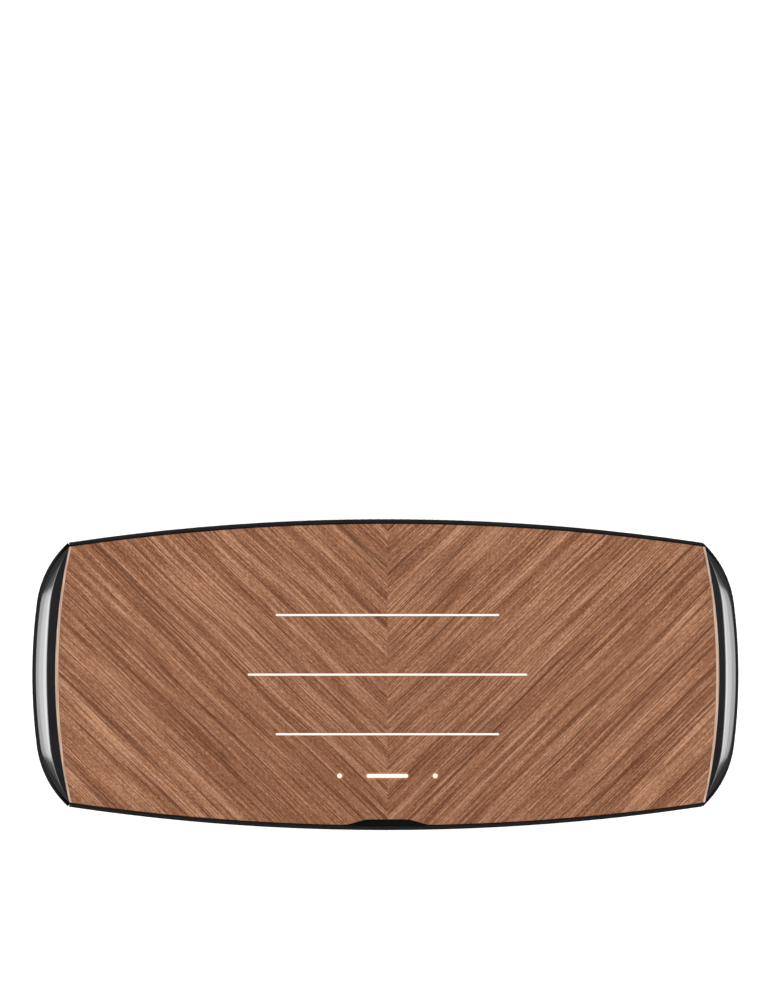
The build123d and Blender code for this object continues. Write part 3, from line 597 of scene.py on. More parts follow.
# ---------------------------------------------------------------- shader graphs
@dataclass
class Graph:
    """A node tree that is being wired."""

    tree: NodeTree

    def add(
        self, kind: str, inputs: dict[str | int, object] | None = None, **settings: object
    ) -> Node:
        """Adds a node.

        Args:
            kind: Node type without its ShaderNode prefix.
            inputs: Values or sockets for the node's inputs, by name or place.
            settings: Values for the node's own properties.

        Returns:
            The new node.
        """
        node = self.tree.nodes.new("ShaderNode" + kind)
        for key, value in settings.items():
            setattr(node, key, value)
        self.feed(node, inputs or {})
        return node

    def feed(self, node: Node, inputs: dict[str | int, object]) -> None:
        """Links or sets a node's inputs.

        Args:
            node: The node.
            inputs: Values or sockets for its inputs, by name or place.
        """
        for key, value in inputs.items():
            if isinstance(value, Socket):
                self.tree.links.new(value, node.inputs[key])
            else:
                node.inputs[key].default_value = value

    def math(self, operation: str, *values: Socket | float) -> Socket:
        """One Math node over one to three values.

        Args:
            operation: Name of the operation.
            values: Values or sockets, in order.

        Returns:
            The result.
        """
        return self.add("Math", dict(enumerate(values)), operation=operation).outputs[0]

    def mix(self, share: Socket | float, first: Socket | Colour, second: Socket | Colour) -> Socket:
        """Blend from the first colour to the second by share.

        Args:
            share: Share of the second colour.
            first: A colour or socket.
            second: A colour or socket.

        Returns:
            The blend.
        """
        first, second = (c if isinstance(c, Socket) else (*c, 1.0) for c in (first, second))
        node = self.add("Mix", {0: share, 6: first, 7: second}, data_type="RGBA")
        return node.outputs[2]

    def span(self, value: Socket, source: tuple[float, float], target: tuple[float, float]) -> Socket:
        """Value carried from the source range to the target range, smoothly and clamped.

        Args:
            value: The value.
            source: Its range.
            target: The range it is carried to.

        Returns:
            The carried value.
        """
        names = ("From Min", "From Max", "To Min", "To Max")
        inputs = {"Value": value, **dict(zip(names, (*source, *target)))}
        return self.add("MapRange", inputs, interpolation_type="SMOOTHSTEP").outputs[0]

    def noise(self, at: Socket, scale: float, detail: float = 3.0, rough: float = 0.55) -> Socket:
        """Noise value at a point.

        Args:
            at: Where.
            scale: Cells in a metre.
            detail: Octaves.
            rough: Weight of the finer octaves.

        Returns:
            The noise value.
        """
        inputs = {"Vector": at, "Scale": scale, "Detail": detail, "Roughness": rough}
        return self.add("TexNoise", inputs).outputs[0]

    def place(self, surface: bool = False) -> Socket:
        """Object coordinates, or the piece's own surface coordinates.

        Args:
            surface: Whether the piece's own coordinates are wanted.

        Returns:
            The coordinates.
        """
        if surface:
            return self.add("UVMap", uv_map=SURFACE).outputs[0]
        return self.add("TexCoord").outputs["Object"]

    def effect(self, made: NodeTree, **inputs: Socket | float) -> Node:
        """Places a shared effect with its own values.

        Args:
            made: The effect's group.
            inputs: Values or sockets for its inputs.

        Returns:
            The placed group.
        """
        node = self.add("Group")
        node.node_tree = made
        self.feed(node, inputs)
        return node

    def bump(self, height: Socket, distance: float, strength: float = 1.0) -> Socket:
        """Normal bent by a height of up to distance metres.

        Args:
            height: The height.
            distance: Its real size.
            strength: Its weight.

        Returns:
            The normal.
        """
        inputs = {"Height": height, "Distance": distance, "Strength": strength}
        return self.add("Bump", inputs).outputs[0]


def effect_group(
    name: str, inputs: dict[str, float | None], outputs: Sequence[str]
) -> tuple[Graph, dict[str, Socket], dict[str, Socket]]:
    """Starts a shared effect as a node group.

    Args:
        name: Name of the group.
        inputs: Named inputs with their first values; None makes a vector input.
        outputs: Names of the value outputs.

    Returns:
        The group's graph, its input sockets and its output sockets, by name.
    """
    tree = bpy.data.node_groups.new(name, "ShaderNodeTree")
    for key, value in inputs.items():
        kind = "NodeSocketVector" if value is None else "NodeSocketFloat"
        socket = tree.interface.new_socket(key, in_out="INPUT", socket_type=kind)
        if value is not None:
            socket.default_value = value
    for key in outputs:
        tree.interface.new_socket(key, in_out="OUTPUT", socket_type="NodeSocketFloat")
    graph = Graph(tree)
    entry, leave = tree.nodes.new("NodeGroupInput"), tree.nodes.new("NodeGroupOutput")
    sources = {key: entry.outputs[key] for key in inputs}
    return graph, sources, {key: leave.inputs[key] for key in outputs}


class Effects:
    """The effects that several finishes share, each built once."""

    def __init__(self) -> None:
        """Builds every group."""
        self.grain = self.build_grain()
        self.moulded = self.build_moulded()
        self.weave = self.build_weave()
        self.wear = self.build_wear()
        self.dust = self.build_dust()

    def build_grain(self) -> NodeTree:
        """Straight wood fibres at an angle to X, mirrored about the middle if asked.

        The point is turned so that one axis runs along the fibres and one across; noise
        stretched along the fibres gives fine streaks, dark pores and broad bands.

        Returns:
            The group.
        """
        g, given, out = effect_group(
            "grain",
            {"Place": None, "Angle": 0.773, "Mirror": 1.0, "Fibre": 1500.0, "Band": 130.0},
            ["Streak", "Fleck", "Pore", "Band", "Height"],
        )
        axes = g.add("SeparateXYZ", {0: given["Place"]}).outputs
        away = g.math("SUBTRACT", g.math("ABSOLUTE", axes[0]), axes[0])
        x = g.math("MULTIPLY_ADD", given["Mirror"], away, axes[0])
        sine, cosine = (g.math(way, given["Angle"]) for way in ("SINE", "COSINE"))
        along = g.math("MULTIPLY_ADD", x, cosine, g.math("MULTIPLY", axes[1], sine))
        across = g.math(
            "SUBTRACT", g.math("MULTIPLY", axes[1], cosine), g.math("MULTIPLY", x, sine)
        )
        sway = g.math("SUBTRACT", g.noise(given["Place"], 9.0, 1.0), 0.5)
        across = g.math("MULTIPLY_ADD", sway, 0.004, across)
        leaf = g.math("MULTIPLY", g.math("SIGN", axes[0]), 3.7)

        def stretched(
            source: str, share: float, slow: float, detail: float, rough: float
        ) -> Socket:
            """Noise drawn out along the fibres.

            Args:
                source: The group input that sets its scale across the fibres.
                share: What that scale is multiplied by.
                slow: How much slower it changes along the fibres.
                detail: Octaves of the noise.
                rough: Weight of the finer octaves.

            Returns:
                The noise value.
            """
            scale = given[source] if share == 1.0 else g.math("MULTIPLY", given[source], share)
            fast = g.math("MULTIPLY", across, scale)
            long = g.math("MULTIPLY", g.math("MULTIPLY", along, scale), slow)
            at = g.add("CombineXYZ", {0: fast, 1: long, 2: leaf}).outputs[0]
            return g.noise(at, 1.0, detail, rough)

        streak = stretched("Fibre", 1.0, 0.012, 3.0, 0.6)
        pore = stretched("Fibre", 1.3, 0.014, 1.0, 0.5)
        band = stretched("Band", 1.0, 0.02, 3.0, 0.55)
        fleck = stretched("Fibre", 1.2, 0.22, 2.0, 0.7)
        vein = stretched("Fibre", 0.4, 0.012, 1.0, 0.5)
        dark = g.math(
            "MAXIMUM", g.span(pore, (0.56, 0.72), (0.0, 0.85)), g.span(vein, (0.6, 0.7), (0.0, 1.0))
        )
        links = g.tree.links
        links.new(g.span(streak, (0.28, 0.72), (0.0, 1.0)), out["Streak"])
        links.new(g.span(fleck, (0.25, 0.75), (0.0, 1.0)), out["Fleck"])
        links.new(dark, out["Pore"])
        links.new(g.span(band, (0.25, 0.75), (0.0, 1.0)), out["Band"])
        links.new(g.math("SUBTRACT", streak, g.math("MULTIPLY", dark, 0.8)), out["Height"])
        return g.tree

    def build_moulded(self) -> NodeTree:
        """Fine even texture of a moulded surface, with a broad, faint mottle.

        Returns:
            The group.
        """
        g, given, out = effect_group("moulded", {"Place": None, "Scale": 1.0}, ["Height", "Mottle"])
        inputs = {0: given["Place"], "Scale": given["Scale"]}
        sized = g.add("VectorMath", inputs, operation="SCALE").outputs[0]
        inputs = {"Vector": sized, "Scale": 1500.0}
        fine = g.add("TexVoronoi", inputs, feature="SMOOTH_F1").outputs[0]
        mottle = g.span(g.noise(given["Place"], 22.0), (0.3, 0.7), (0.0, 1.0))
        g.tree.links.new(g.math("ADD", fine, g.noise(sized, 2600.0, 2.0)), out["Height"])
        g.tree.links.new(mottle, out["Mottle"])
        return g.tree

    def build_weave(self) -> NodeTree:
        """Plain weave: each thread is a half sine, and every other crossing it goes under.

        Returns:
            The group.
        """
        g, given, out = effect_group("weave", {"Place": None, "Pitch": 0.0009}, ["Height", "Thread"])
        axes = g.add("SeparateXYZ", {0: given["Place"]}).outputs
        turns = [g.math("DIVIDE", axis, given["Pitch"]) for axis in axes[:2]]
        cells = [g.math("FLOOR", turn) for turn in turns]
        parts = [g.math("FRACT", turn) for turn in turns]
        bulge = [g.math("SINE", g.math("MULTIPLY", part, math.pi)) for part in parts]
        over = g.math("PINGPONG", g.math("ADD", *cells), 1.0)
        under = g.math("SUBTRACT", 1.0, over)
        warp = g.math("MULTIPLY", bulge[0], g.math("MULTIPLY_ADD", over, 0.6, 0.4))
        weft = g.math("MULTIPLY", bulge[1], g.math("MULTIPLY_ADD", under, 0.6, 0.4))
        g.tree.links.new(g.math("MAXIMUM", warp, weft), out["Height"])
        slub = g.noise(given["Place"], 420.0, 2.0)
        g.tree.links.new(g.span(slub, (0.3, 0.7), (0.0, 1.0)), out["Thread"])
        return g.tree

    def build_wear(self) -> NodeTree:
        """Rubbed places: broad noise that breaks up in finer noise, by amount.

        Returns:
            The group.
        """
        g, given, out = effect_group("wear", {"Place": None, "Amount": 0.3}, ["Rub", "Scratch"])
        broad = g.noise(given["Place"], 14.0, 4.0, 0.65)
        cut = g.math("SUBTRACT", 0.78, g.math("MULTIPLY", given["Amount"], 0.4))
        rub = g.span(g.math("SUBTRACT", broad, cut), (0.0, 0.14), (0.0, 1.0))
        drawn = {"Rotation": (0.1, 0.2, 0.6), "Scale": (900.0, 26.0, 300.0)}
        turned = g.add("Mapping", {"Vector": given["Place"], **drawn}).outputs[0]
        line = g.span(g.noise(turned, 1.0, 1.0), (0.68, 0.76), (0.0, 1.0))
        g.tree.links.new(rub, out["Rub"])
        g.tree.links.new(g.math("MULTIPLY", line, given["Amount"]), out["Scratch"])
        return g.tree

    def build_dust(self) -> NodeTree:
        """Dust that lies where the surface looks up, broken by fine specks.

        Returns:
            The group.
        """
        inputs = {"Place": None, "Facing": 0.0, "Amount": 0.1}
        g, given, out = effect_group("dust", inputs, ["Film"])
        speck = g.noise(given["Place"], 700.0, 4.0, 0.7)
        broad = g.noise(given["Place"], 35.0, 2.0)
        facing = g.span(given["Facing"], (0.2, 0.95), (0.0, 1.0))
        lying = g.math("MULTIPLY", facing, given["Amount"])
        film = g.math("MULTIPLY", g.math("MULTIPLY", speck, broad), lying)
        g.tree.links.new(g.math("MULTIPLY", film, 3.0), out["Film"])
        return g.tree


effects = Effects()


# ---------------------------------------------------------------- finishes
@dataclass(frozen=True)
class Finish:
    """A finish: its name, its two ends of colour, and its roughness from low to high."""

    name: str
    colour: Colour
    second: Colour
    rough: tuple[float, float] = (0.4, 0.5)
    metal: float = 0.0
    specular: float = 0.5
    coat: float = 0.0

    def material(self) -> Material:
        """The finish as a material, wired once and then reused.

        Returns:
            The material.
        """
        if self.name in bpy.data.materials:
            return bpy.data.materials[self.name]
        made = bpy.data.materials.new(self.name)
        made.use_nodes = True
        made.diffuse_color = (*self.colour, 1.0)
        graph = Graph(made.node_tree)
        shader = made.node_tree.nodes["Principled BSDF"]
        shader.inputs["Metallic"].default_value = self.metal
        shader.inputs["Specular IOR Level"].default_value = self.specular
        shader.inputs["Coat Weight"].default_value = self.coat
        shader.inputs["Coat Roughness"].default_value = 0.06
        for key, value in self.wire(graph, shader).items():
            graph.tree.links.new(value, shader.inputs[key])
        return made

    def wire(self, g: Graph, shader: Node) -> dict[str, Socket]:
        """Wires what changes over the surface, and returns it by shader input.

        Args:
            g: The material's graph.
            shader: Its Principled shader, for what stays constant.

        Returns:
            The sockets that vary over the surface, by shader input.
        """
        raise NotImplementedError

    def dust(self, g: Graph, amount: float) -> Socket:
        """Film of dust that lies where the surface looks up.

        Args:
            g: The material's graph.
            amount: Its weight on a level surface.

        Returns:
            The film's share of the surface.
        """
        up = g.add("SeparateXYZ", {0: g.add("NewGeometry").outputs["Normal"]}).outputs[2]
        return g.effect(effects.dust, Place=g.place(), Facing=up, Amount=amount).outputs[0]


@dataclass(frozen=True)
class Moulded(Finish):
    """Moulded plastic or rubber: fine texture, mottle, rubbed places and a film of dust."""

    scale: float = 1.0
    depth: float = 0.00005
    amount: float = 0.25
    dusty: float = 0.05

    def wire(self, g: Graph, shader: Node) -> dict[str, Socket]:
        """Mottles the colour, and lets rubbing polish it and dust dull it.

        Args:
            g: The material's graph.
            shader: Its Principled shader, for what stays constant.

        Returns:
            The sockets that vary over the surface, by shader input.
        """
        at = g.place()
        texture = g.effect(effects.moulded, Place=at, Scale=self.scale).outputs
        wear = g.effect(effects.wear, Place=at, Amount=self.amount).outputs
        dust = self.dust(g, self.dusty)
        base = g.mix(texture["Mottle"], self.colour, self.second)
        base = g.mix(dust, base, (0.22, 0.21, 0.19))
        rough = g.span(texture["Mottle"], (0.0, 1.0), self.rough)
        rough = g.math("SUBTRACT", rough, g.math("MULTIPLY", wear["Rub"], 0.07))
        rough = g.math("ADD", rough, g.math("MULTIPLY", dust, 0.3))
        normal = g.bump(texture["Height"], self.depth)
        return {"Base Color": base, "Roughness": rough, "Normal": normal}


@dataclass(frozen=True)
class Lacquer(Finish):
    """Polished lacquer: nearly even, with hairline scratches and a faint orange peel."""

    ior: float = 1.5

    def wire(self, g: Graph, shader: Node) -> dict[str, Socket]:
        """Lets dust and hairlines roughen the gloss here and there.

        Args:
            g: The material's graph.
            shader: Its Principled shader, for what stays constant.

        Returns:
            The sockets that vary over the surface, by shader input.
        """
        shader.inputs["IOR"].default_value = self.ior
        at = g.place()
        wear = g.effect(effects.wear, Place=at, Amount=0.25).outputs
        dust = self.dust(g, 0.04)
        base = g.mix(dust, g.mix(wear["Rub"], self.colour, self.second), DUST)
        rough = g.span(g.math("ADD", wear["Scratch"], dust), (0.0, 0.6), self.rough)
        normal = g.bump(g.noise(at, 160.0, 1.0), 0.000004)
        return {"Base Color": base, "Roughness": rough, "Normal": normal}


@dataclass(frozen=True)
class Veneer(Finish):
    """Veneer under satin lacquer: bands, fine streaks and pores along the fibres."""

    light: Colour = (0.4, 0.2, 0.125)
    pore: Colour = (0.12, 0.042, 0.022)
    angle: float = math.radians(44.3)
    mirror: float = 1.0
    fibre: float = 1250.0
    band: float = 130.0
    # Painted shade: how strongly the veneer darkens towards its second colour, about which point, and
    # how far out
    painted_shade: float = 0.0
    painted_shade_centre: Point3 = (0.0, -0.1, 0.13)
    reach: float = 0.33
    halo: tuple[float, float] | None = None
    controls_y: float = -0.0929
    glow: Colour = (1.0, 0.45, 0.2)

    def wire(self, g: Graph, shader: Node) -> dict[str, Socket]:
        """Lays the grain's bands, streaks and pores over each other.

        Args:
            g: The material's graph.
            shader: Its Principled shader, for what stays constant.

        Returns:
            The sockets that vary over the surface, by shader input.
        """
        at = g.place()
        lie = {"Angle": self.angle, "Mirror": self.mirror, "Fibre": self.fibre, "Band": self.band}
        grain = g.effect(effects.grain, Place=at, **lie).outputs
        tone = g.math("MULTIPLY_ADD", grain["Streak"], 0.4, g.math("MULTIPLY", grain["Band"], 0.26))
        tone = g.math("MULTIPLY_ADD", grain["Fleck"], 0.34, tone)
        base = g.mix(g.span(tone, (0.25, 0.52), (0.0, 1.0)), self.second, self.colour)
        base = g.mix(g.span(tone, (0.5, 0.76), (0.0, 1.0)), base, self.light)
        base = g.mix(g.math("MULTIPLY", grain["Pore"], 0.72), base, self.pore)
        # Painted shade: the veneer turns towards its darker, warmer colour near a point at the front
        # middle of the deck, fading out over the reach
        if self.painted_shade:
            inputs = {0: at, 1: self.painted_shade_centre}
            away = g.add("VectorMath", inputs, operation="DISTANCE").outputs["Value"]
            near = g.span(away, (0.0, self.reach), (self.painted_shade, 0.0))
            base = g.mix(near, base, self.second)
        rough = g.span(grain["Streak"], (0.0, 1.0), self.rough)
        dust = self.dust(g, 0.03)
        rough = g.math("ADD", rough, g.math("MULTIPLY", dust, 0.4))
        normal = g.bump(grain["Height"], 0.00004, 0.6)
        wired = {"Base Color": base, "Roughness": rough, "Normal": normal}
        if self.halo:
            shader.inputs["Emission Strength"].default_value = 1.0
            wired["Emission Color"] = self.spill(g, at)
        return wired

    def spill(self, g: Graph, at: Socket) -> Socket:
        """Light that spills from the controls: it fades with distance from the dots and bar.

        Args:
            g: The material's graph.
            at: The point.

        Returns:
            The spilt light's colour.
        """
        axes = g.add("SeparateXYZ", {0: at}).outputs
        ahead = g.math("SUBTRACT", axes[1], self.controls_y)
        beside = g.math("ABSOLUTE", axes[0])
        dot = g.math("SUBTRACT", beside, self.halo[0])
        bar = g.math("MAXIMUM", g.math("SUBTRACT", beside, self.halo[1]), 0.0)
        near = [
            g.math("SQRT", g.math("ADD", g.math("POWER", x, 2.0), g.math("POWER", ahead, 2.0)))
            for x in (dot, bar)
        ]
        glow = g.span(g.math("MINIMUM", *near), (0.0012, 0.0046), (0.5, 0.0))
        return g.mix(g.math("POWER", glow, 1.6), BLACK, self.glow)


@dataclass(frozen=True)
class Woven(Finish):
    """Woven cloth: threads over and under, slubs in the yarn, and a soft sheen."""

    pitch: float = 0.0009
    surface: bool = True

    def wire(self, g: Graph, shader: Node) -> dict[str, Socket]:
        """Darkens the gaps between threads and raises the threads.

        Args:
            g: The material's graph.
            shader: Its Principled shader, for what stays constant.

        Returns:
            The sockets that vary over the surface, by shader input.
        """
        shader.inputs["Sheen Weight"].default_value = 0.03
        shader.inputs["Sheen Roughness"].default_value = 0.5
        at = g.place(self.surface)
        weave = g.effect(effects.weave, Place=at, Pitch=self.pitch).outputs
        dust = self.dust(g, 0.015)
        raised = g.span(weave["Height"], (0.3, 1.0), (0.15, 1.0))
        yarn = g.math("MULTIPLY_ADD", weave["Thread"], 0.3, 0.7)
        shade = g.math("MULTIPLY", raised, yarn)
        base = g.mix(dust, g.mix(shade, self.second, self.colour), DUST)
        rough = g.span(weave["Thread"], (0.0, 1.0), self.rough)
        normal = g.bump(weave["Height"], self.pitch * 0.3)
        return {"Base Color": base, "Roughness": rough, "Normal": normal}


@dataclass(frozen=True)
class Metal(Finish):
    """Plated, cast or brushed metal: drawn lines one way, rubbed places and dull film."""

    grain: tuple[float, float, float] = (60.0, 60.0, 2200.0)
    depth: float = 0.00001

    def wire(self, g: Graph, shader: Node) -> dict[str, Socket]:
        """Stretches noise along one axis for the drawn lines.

        Args:
            g: The material's graph.
            shader: Its Principled shader, for what stays constant.

        Returns:
            The sockets that vary over the surface, by shader input.
        """
        at = g.place()
        lines = g.add("Mapping", {"Vector": at, "Scale": self.grain}).outputs[0]
        drawn = g.noise(lines, 1.0, 3.0)
        wear = g.effect(effects.wear, Place=at, Amount=0.35).outputs
        dust = self.dust(g, 0.06)
        base = g.mix(g.span(drawn, (0.3, 0.7), (0.0, 1.0)), self.colour, self.second)
        rough = g.span(drawn, (0.3, 0.7), self.rough)
        rough = g.math("MULTIPLY_ADD", wear["Rub"], 0.12, rough)
        rough = g.math("MULTIPLY_ADD", dust, 0.3, rough)
        return {"Base Color": base, "Roughness": rough, "Normal": g.bump(drawn, self.depth)}


@dataclass(frozen=True)
class Pulp(Finish):
    """Pressed paper of a cone: felted fibres, with rings pressed round its axis."""

    centre: tuple[float, float, float] = (0.0, 0.0, 0.0)
    axis: int = 2

    def wire(self, g: Graph, shader: Node) -> dict[str, Socket]:
        """Felts the surface with long noise, and rings it by distance from the axis.

        Args:
            g: The material's graph.
            shader: Its Principled shader, for what stays constant.

        Returns:
            The sockets that vary over the surface, by shader input.
        """
        at = g.place()
        drawn = g.add("Mapping", {"Vector": at, "Scale": (500.0, 220.0, 900.0)}).outputs[0]
        felt = g.noise(drawn, 1.0, 4.0, 0.7)
        kept = [0.0 if axis == self.axis else 1.0 for axis in range(3)]
        away = g.add("VectorMath", {0: at, 1: self.centre}, operation="SUBTRACT").outputs[0]
        flat = g.add("VectorMath", {0: away, 1: kept}, operation="MULTIPLY").outputs[0]
        radius = g.add("VectorMath", {0: flat}, operation="LENGTH").outputs["Value"]
        rings = g.math("SINE", g.math("MULTIPLY", radius, 1500.0))
        base = g.mix(g.span(felt, (0.35, 0.65), (0.0, 1.0)), self.colour, self.second)
        rough = g.span(felt, (0.3, 0.7), self.rough)
        height = g.math("MULTIPLY_ADD", rings, 0.3, felt)
        return {"Base Color": base, "Roughness": rough, "Normal": g.bump(height, 0.00015)}


@dataclass(frozen=True)
class Mask(Finish):
    """Circuit board: solder mask over copper tracks, with bare pads."""

    copper: Colour = (0.55, 0.33, 0.12)

    def wire(self, g: Graph, shader: Node) -> dict[str, Socket]:
        """Draws tracks as the edges of square cells, and pads as dots in some cells.

        Args:
            g: The material's graph.
            shader: Its Principled shader, for what stays constant.

        Returns:
            The sockets that vary over the surface, by shader input.
        """
        at = g.place()
        cells = {"Vector": at, "Scale": 260.0, "Randomness": 0.85}
        tracks = g.add("TexVoronoi", cells, feature="DISTANCE_TO_EDGE").outputs[0]
        track = g.span(tracks, (0.04, 0.07), (1.0, 0.0))
        dots = g.add("TexVoronoi", {**cells, "Scale": 330.0}, distance="CHEBYCHEV").outputs[0]
        pad = g.span(dots, (0.16, 0.2), (1.0, 0.0))
        base = g.mix(pad, g.mix(track, self.colour, self.second), self.copper)
        rough = g.span(g.math("MAXIMUM", track, pad), (0.0, 1.0), self.rough)
        height = g.math("ADD", track, g.math("MULTIPLY", pad, 2.0))
        return {"Base Color": base, "Roughness": rough, "Normal": g.bump(height, 0.00005)}


@dataclass(frozen=True)
class Lamp(Finish):
    """Milky plastic lit from below, a little brighter along its middle."""

    glow: float = 1.0
    spread: tuple[float, float, float] = (40.0, 400.0, 1.0)

    def wire(self, g: Graph, shader: Node) -> dict[str, Socket]:
        """Clouds the plastic and its glow very slightly.

        Args:
            g: The material's graph.
            shader: Its Principled shader, for what stays constant.

        Returns:
            The sockets that vary over the surface, by shader input.
        """
        shader.inputs["Emission Strength"].default_value = self.glow
        at = g.place()
        drawn = g.add("Mapping", {"Vector": at, "Scale": self.spread}).outputs[0]
        cloud = g.noise(drawn, 1.0, 2.0)
        lit = g.mix(g.span(cloud, (0.3, 0.7), (0.0, 1.0)), self.colour, self.second)
        rough = g.span(cloud, (0.3, 0.7), self.rough)
        normal = g.bump(g.noise(at, 900.0), 0.00001)
        return {"Base Color": lit, "Emission Color": lit, "Roughness": rough, "Normal": normal}


CASE = Moulded(
    "case black", (0.0065, 0.0065, 0.0069), (0.01, 0.01, 0.0106), (0.34, 0.46), specular=0.1,
    dusty=0.015
)
RIM = Moulded(
    "frame black", (0.0012, 0.0012, 0.0013), (0.0022, 0.0022, 0.0024), (0.3, 0.4), depth=0.00003,
    specular=0.012, dusty=0.008
)
TRAY = Moulded(
    "tray black", (0.012, 0.012, 0.013), (0.02, 0.02, 0.021), (0.5, 0.62), scale=0.6, depth=0.0001
)
CABINET = Moulded(
    "cabinet grey", (0.03, 0.03, 0.032), (0.042, 0.042, 0.043), (0.5, 0.65), scale=0.5,
    depth=0.0001
)
CHASSIS = Moulded(
    "chassis black", (0.016, 0.016, 0.017), (0.024, 0.024, 0.025), (0.45, 0.55), scale=0.7
)
SOCKET_BLACK = Moulded(
    "socket black", (0.01, 0.01, 0.01), (0.016, 0.016, 0.016), (0.28, 0.4), depth=0.00002
)
RUBBER = Moulded(
    "foot rubber", (0.02, 0.02, 0.02), (0.034, 0.033, 0.032), (0.72, 0.85), scale=0.8,
    depth=0.00008, specular=0.35
)
ROLL = Moulded(
    "surround rubber", (0.009, 0.009, 0.009), (0.014, 0.014, 0.014), (0.42, 0.55), scale=1.4,
    depth=0.00003
)
GUARD = Moulded(
    "guard paint", (0.015, 0.015, 0.015), (0.022, 0.022, 0.022), (0.42, 0.55), scale=1.2
)
CLOTH = Woven(
    "acoustic cloth", (0.021, 0.021, 0.0226), (0.0025, 0.0025, 0.0025), (0.78, 0.92), specular=0.0
)
BAND = Moulded(
    "mesh paint", (0.009, 0.009, 0.0095), (0.014, 0.014, 0.0145), (0.42, 0.55), scale=1.2,
    depth=0.00002, specular=0.06, dusty=0.03
)
TRIM = Lacquer(
    "trim lacquer", (0.012, 0.012, 0.0125), (0.014, 0.014, 0.0145), (0.14, 0.24), ior=2.0
)
# The deck's veneer carries painted shade, darker towards the front middle
DECK = Veneer(
    "chevron veneer", (0.211, 0.088, 0.041), (0.1, 0.031, 0.0095), (0.42, 0.52), specular=0.15,
    light=(0.385, 0.2, 0.118), pore=(0.055, 0.015, 0.004), painted_shade=0.25, halo=(0.04395, 0.01725)
)
INLAY = Veneer(
    "pale inlay", (0.385, 0.265, 0.19), (0.31, 0.205, 0.14), (0.42, 0.52), specular=0.2,
    light=(0.45, 0.325, 0.24), pore=(0.22, 0.13, 0.09), angle=math.pi / 2, mirror=0.0,
    fibre=1400.0, band=300.0
)
LINE_LAMP = Lamp("line light", (0.62, 0.58, 0.55), (0.6, 0.56, 0.52), (0.35, 0.45), glow=0.14)
DOT_LAMP = Lamp(
    "control light", (0.75, 0.63, 0.52), (0.72, 0.58, 0.46), (0.35, 0.45), glow=0.32,
    spread=(300.0, 300.0, 1.0)
)
STEEL = Metal("screw steel", (0.05, 0.05, 0.052), (0.085, 0.085, 0.088), (0.28, 0.45), metal=1.0)
NICKEL = Metal("socket nickel", (0.56, 0.54, 0.5), (0.68, 0.66, 0.62), (0.22, 0.38), metal=1.0)
GOLD = Metal("contact gold", (0.83, 0.6, 0.25), (0.95, 0.72, 0.34), (0.2, 0.3), metal=1.0)
FERRITE = Metal("magnet plate", (0.2, 0.2, 0.21), (0.3, 0.3, 0.31), (0.35, 0.5), metal=1.0)
ALUMINIUM = Metal(
    "black anodised", (0.035, 0.035, 0.037), (0.055, 0.055, 0.057), (0.35, 0.48), metal=1.0
)
BOARD = Mask(
    "board green", (0.008, 0.045, 0.022), (0.014, 0.075, 0.036), (0.35, 0.28), specular=0.5
)
SILK = Woven(
    "dome silk", (0.03, 0.03, 0.033), (0.012, 0.012, 0.013), (0.45, 0.6), pitch=0.0005,
    surface=False
)

PULP = Pulp("pulp", (0.02, 0.02, 0.021), (0.034, 0.034, 0.035), (0.6, 0.8))


def paint(finish: Finish, *nodes: str) -> None:
    """Gives CAD nodes a finish through their material slots.

    Args:
        finish: The finish.
        nodes: Names of the CAD nodes.
    """
    material = finish.material()
    for name in nodes:
        obj = frame["nodes"][name]
        if not obj.material_slots:
            obj.data.materials.append(material)
        for place in obj.material_slots:
            place.material = material
        log.info("%s: %s", name, finish.name)


def fit(obj: Object, finish: Finish, node: str) -> Object:
    """Dresses a new piece and sets it on the body of a CAD node.

    Args:
        obj: The new piece.
        finish: Its finish.
        node: The CAD node that it stands for or adds to.

    Returns:
        The same piece.
    """
    obj.data.materials.append(finish.material())
    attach(obj, frame["nodes"][node]["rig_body"])
    log.info("%s: %s, %d faces", obj.name, finish.name, len(obj.data.polygons))
    return obj


# ---------------------------------------------------------------- deck
class Guide(Enum):
    """The two colours of light in the deck."""

    LINE = LINE_LAMP
    CONTROL = DOT_LAMP


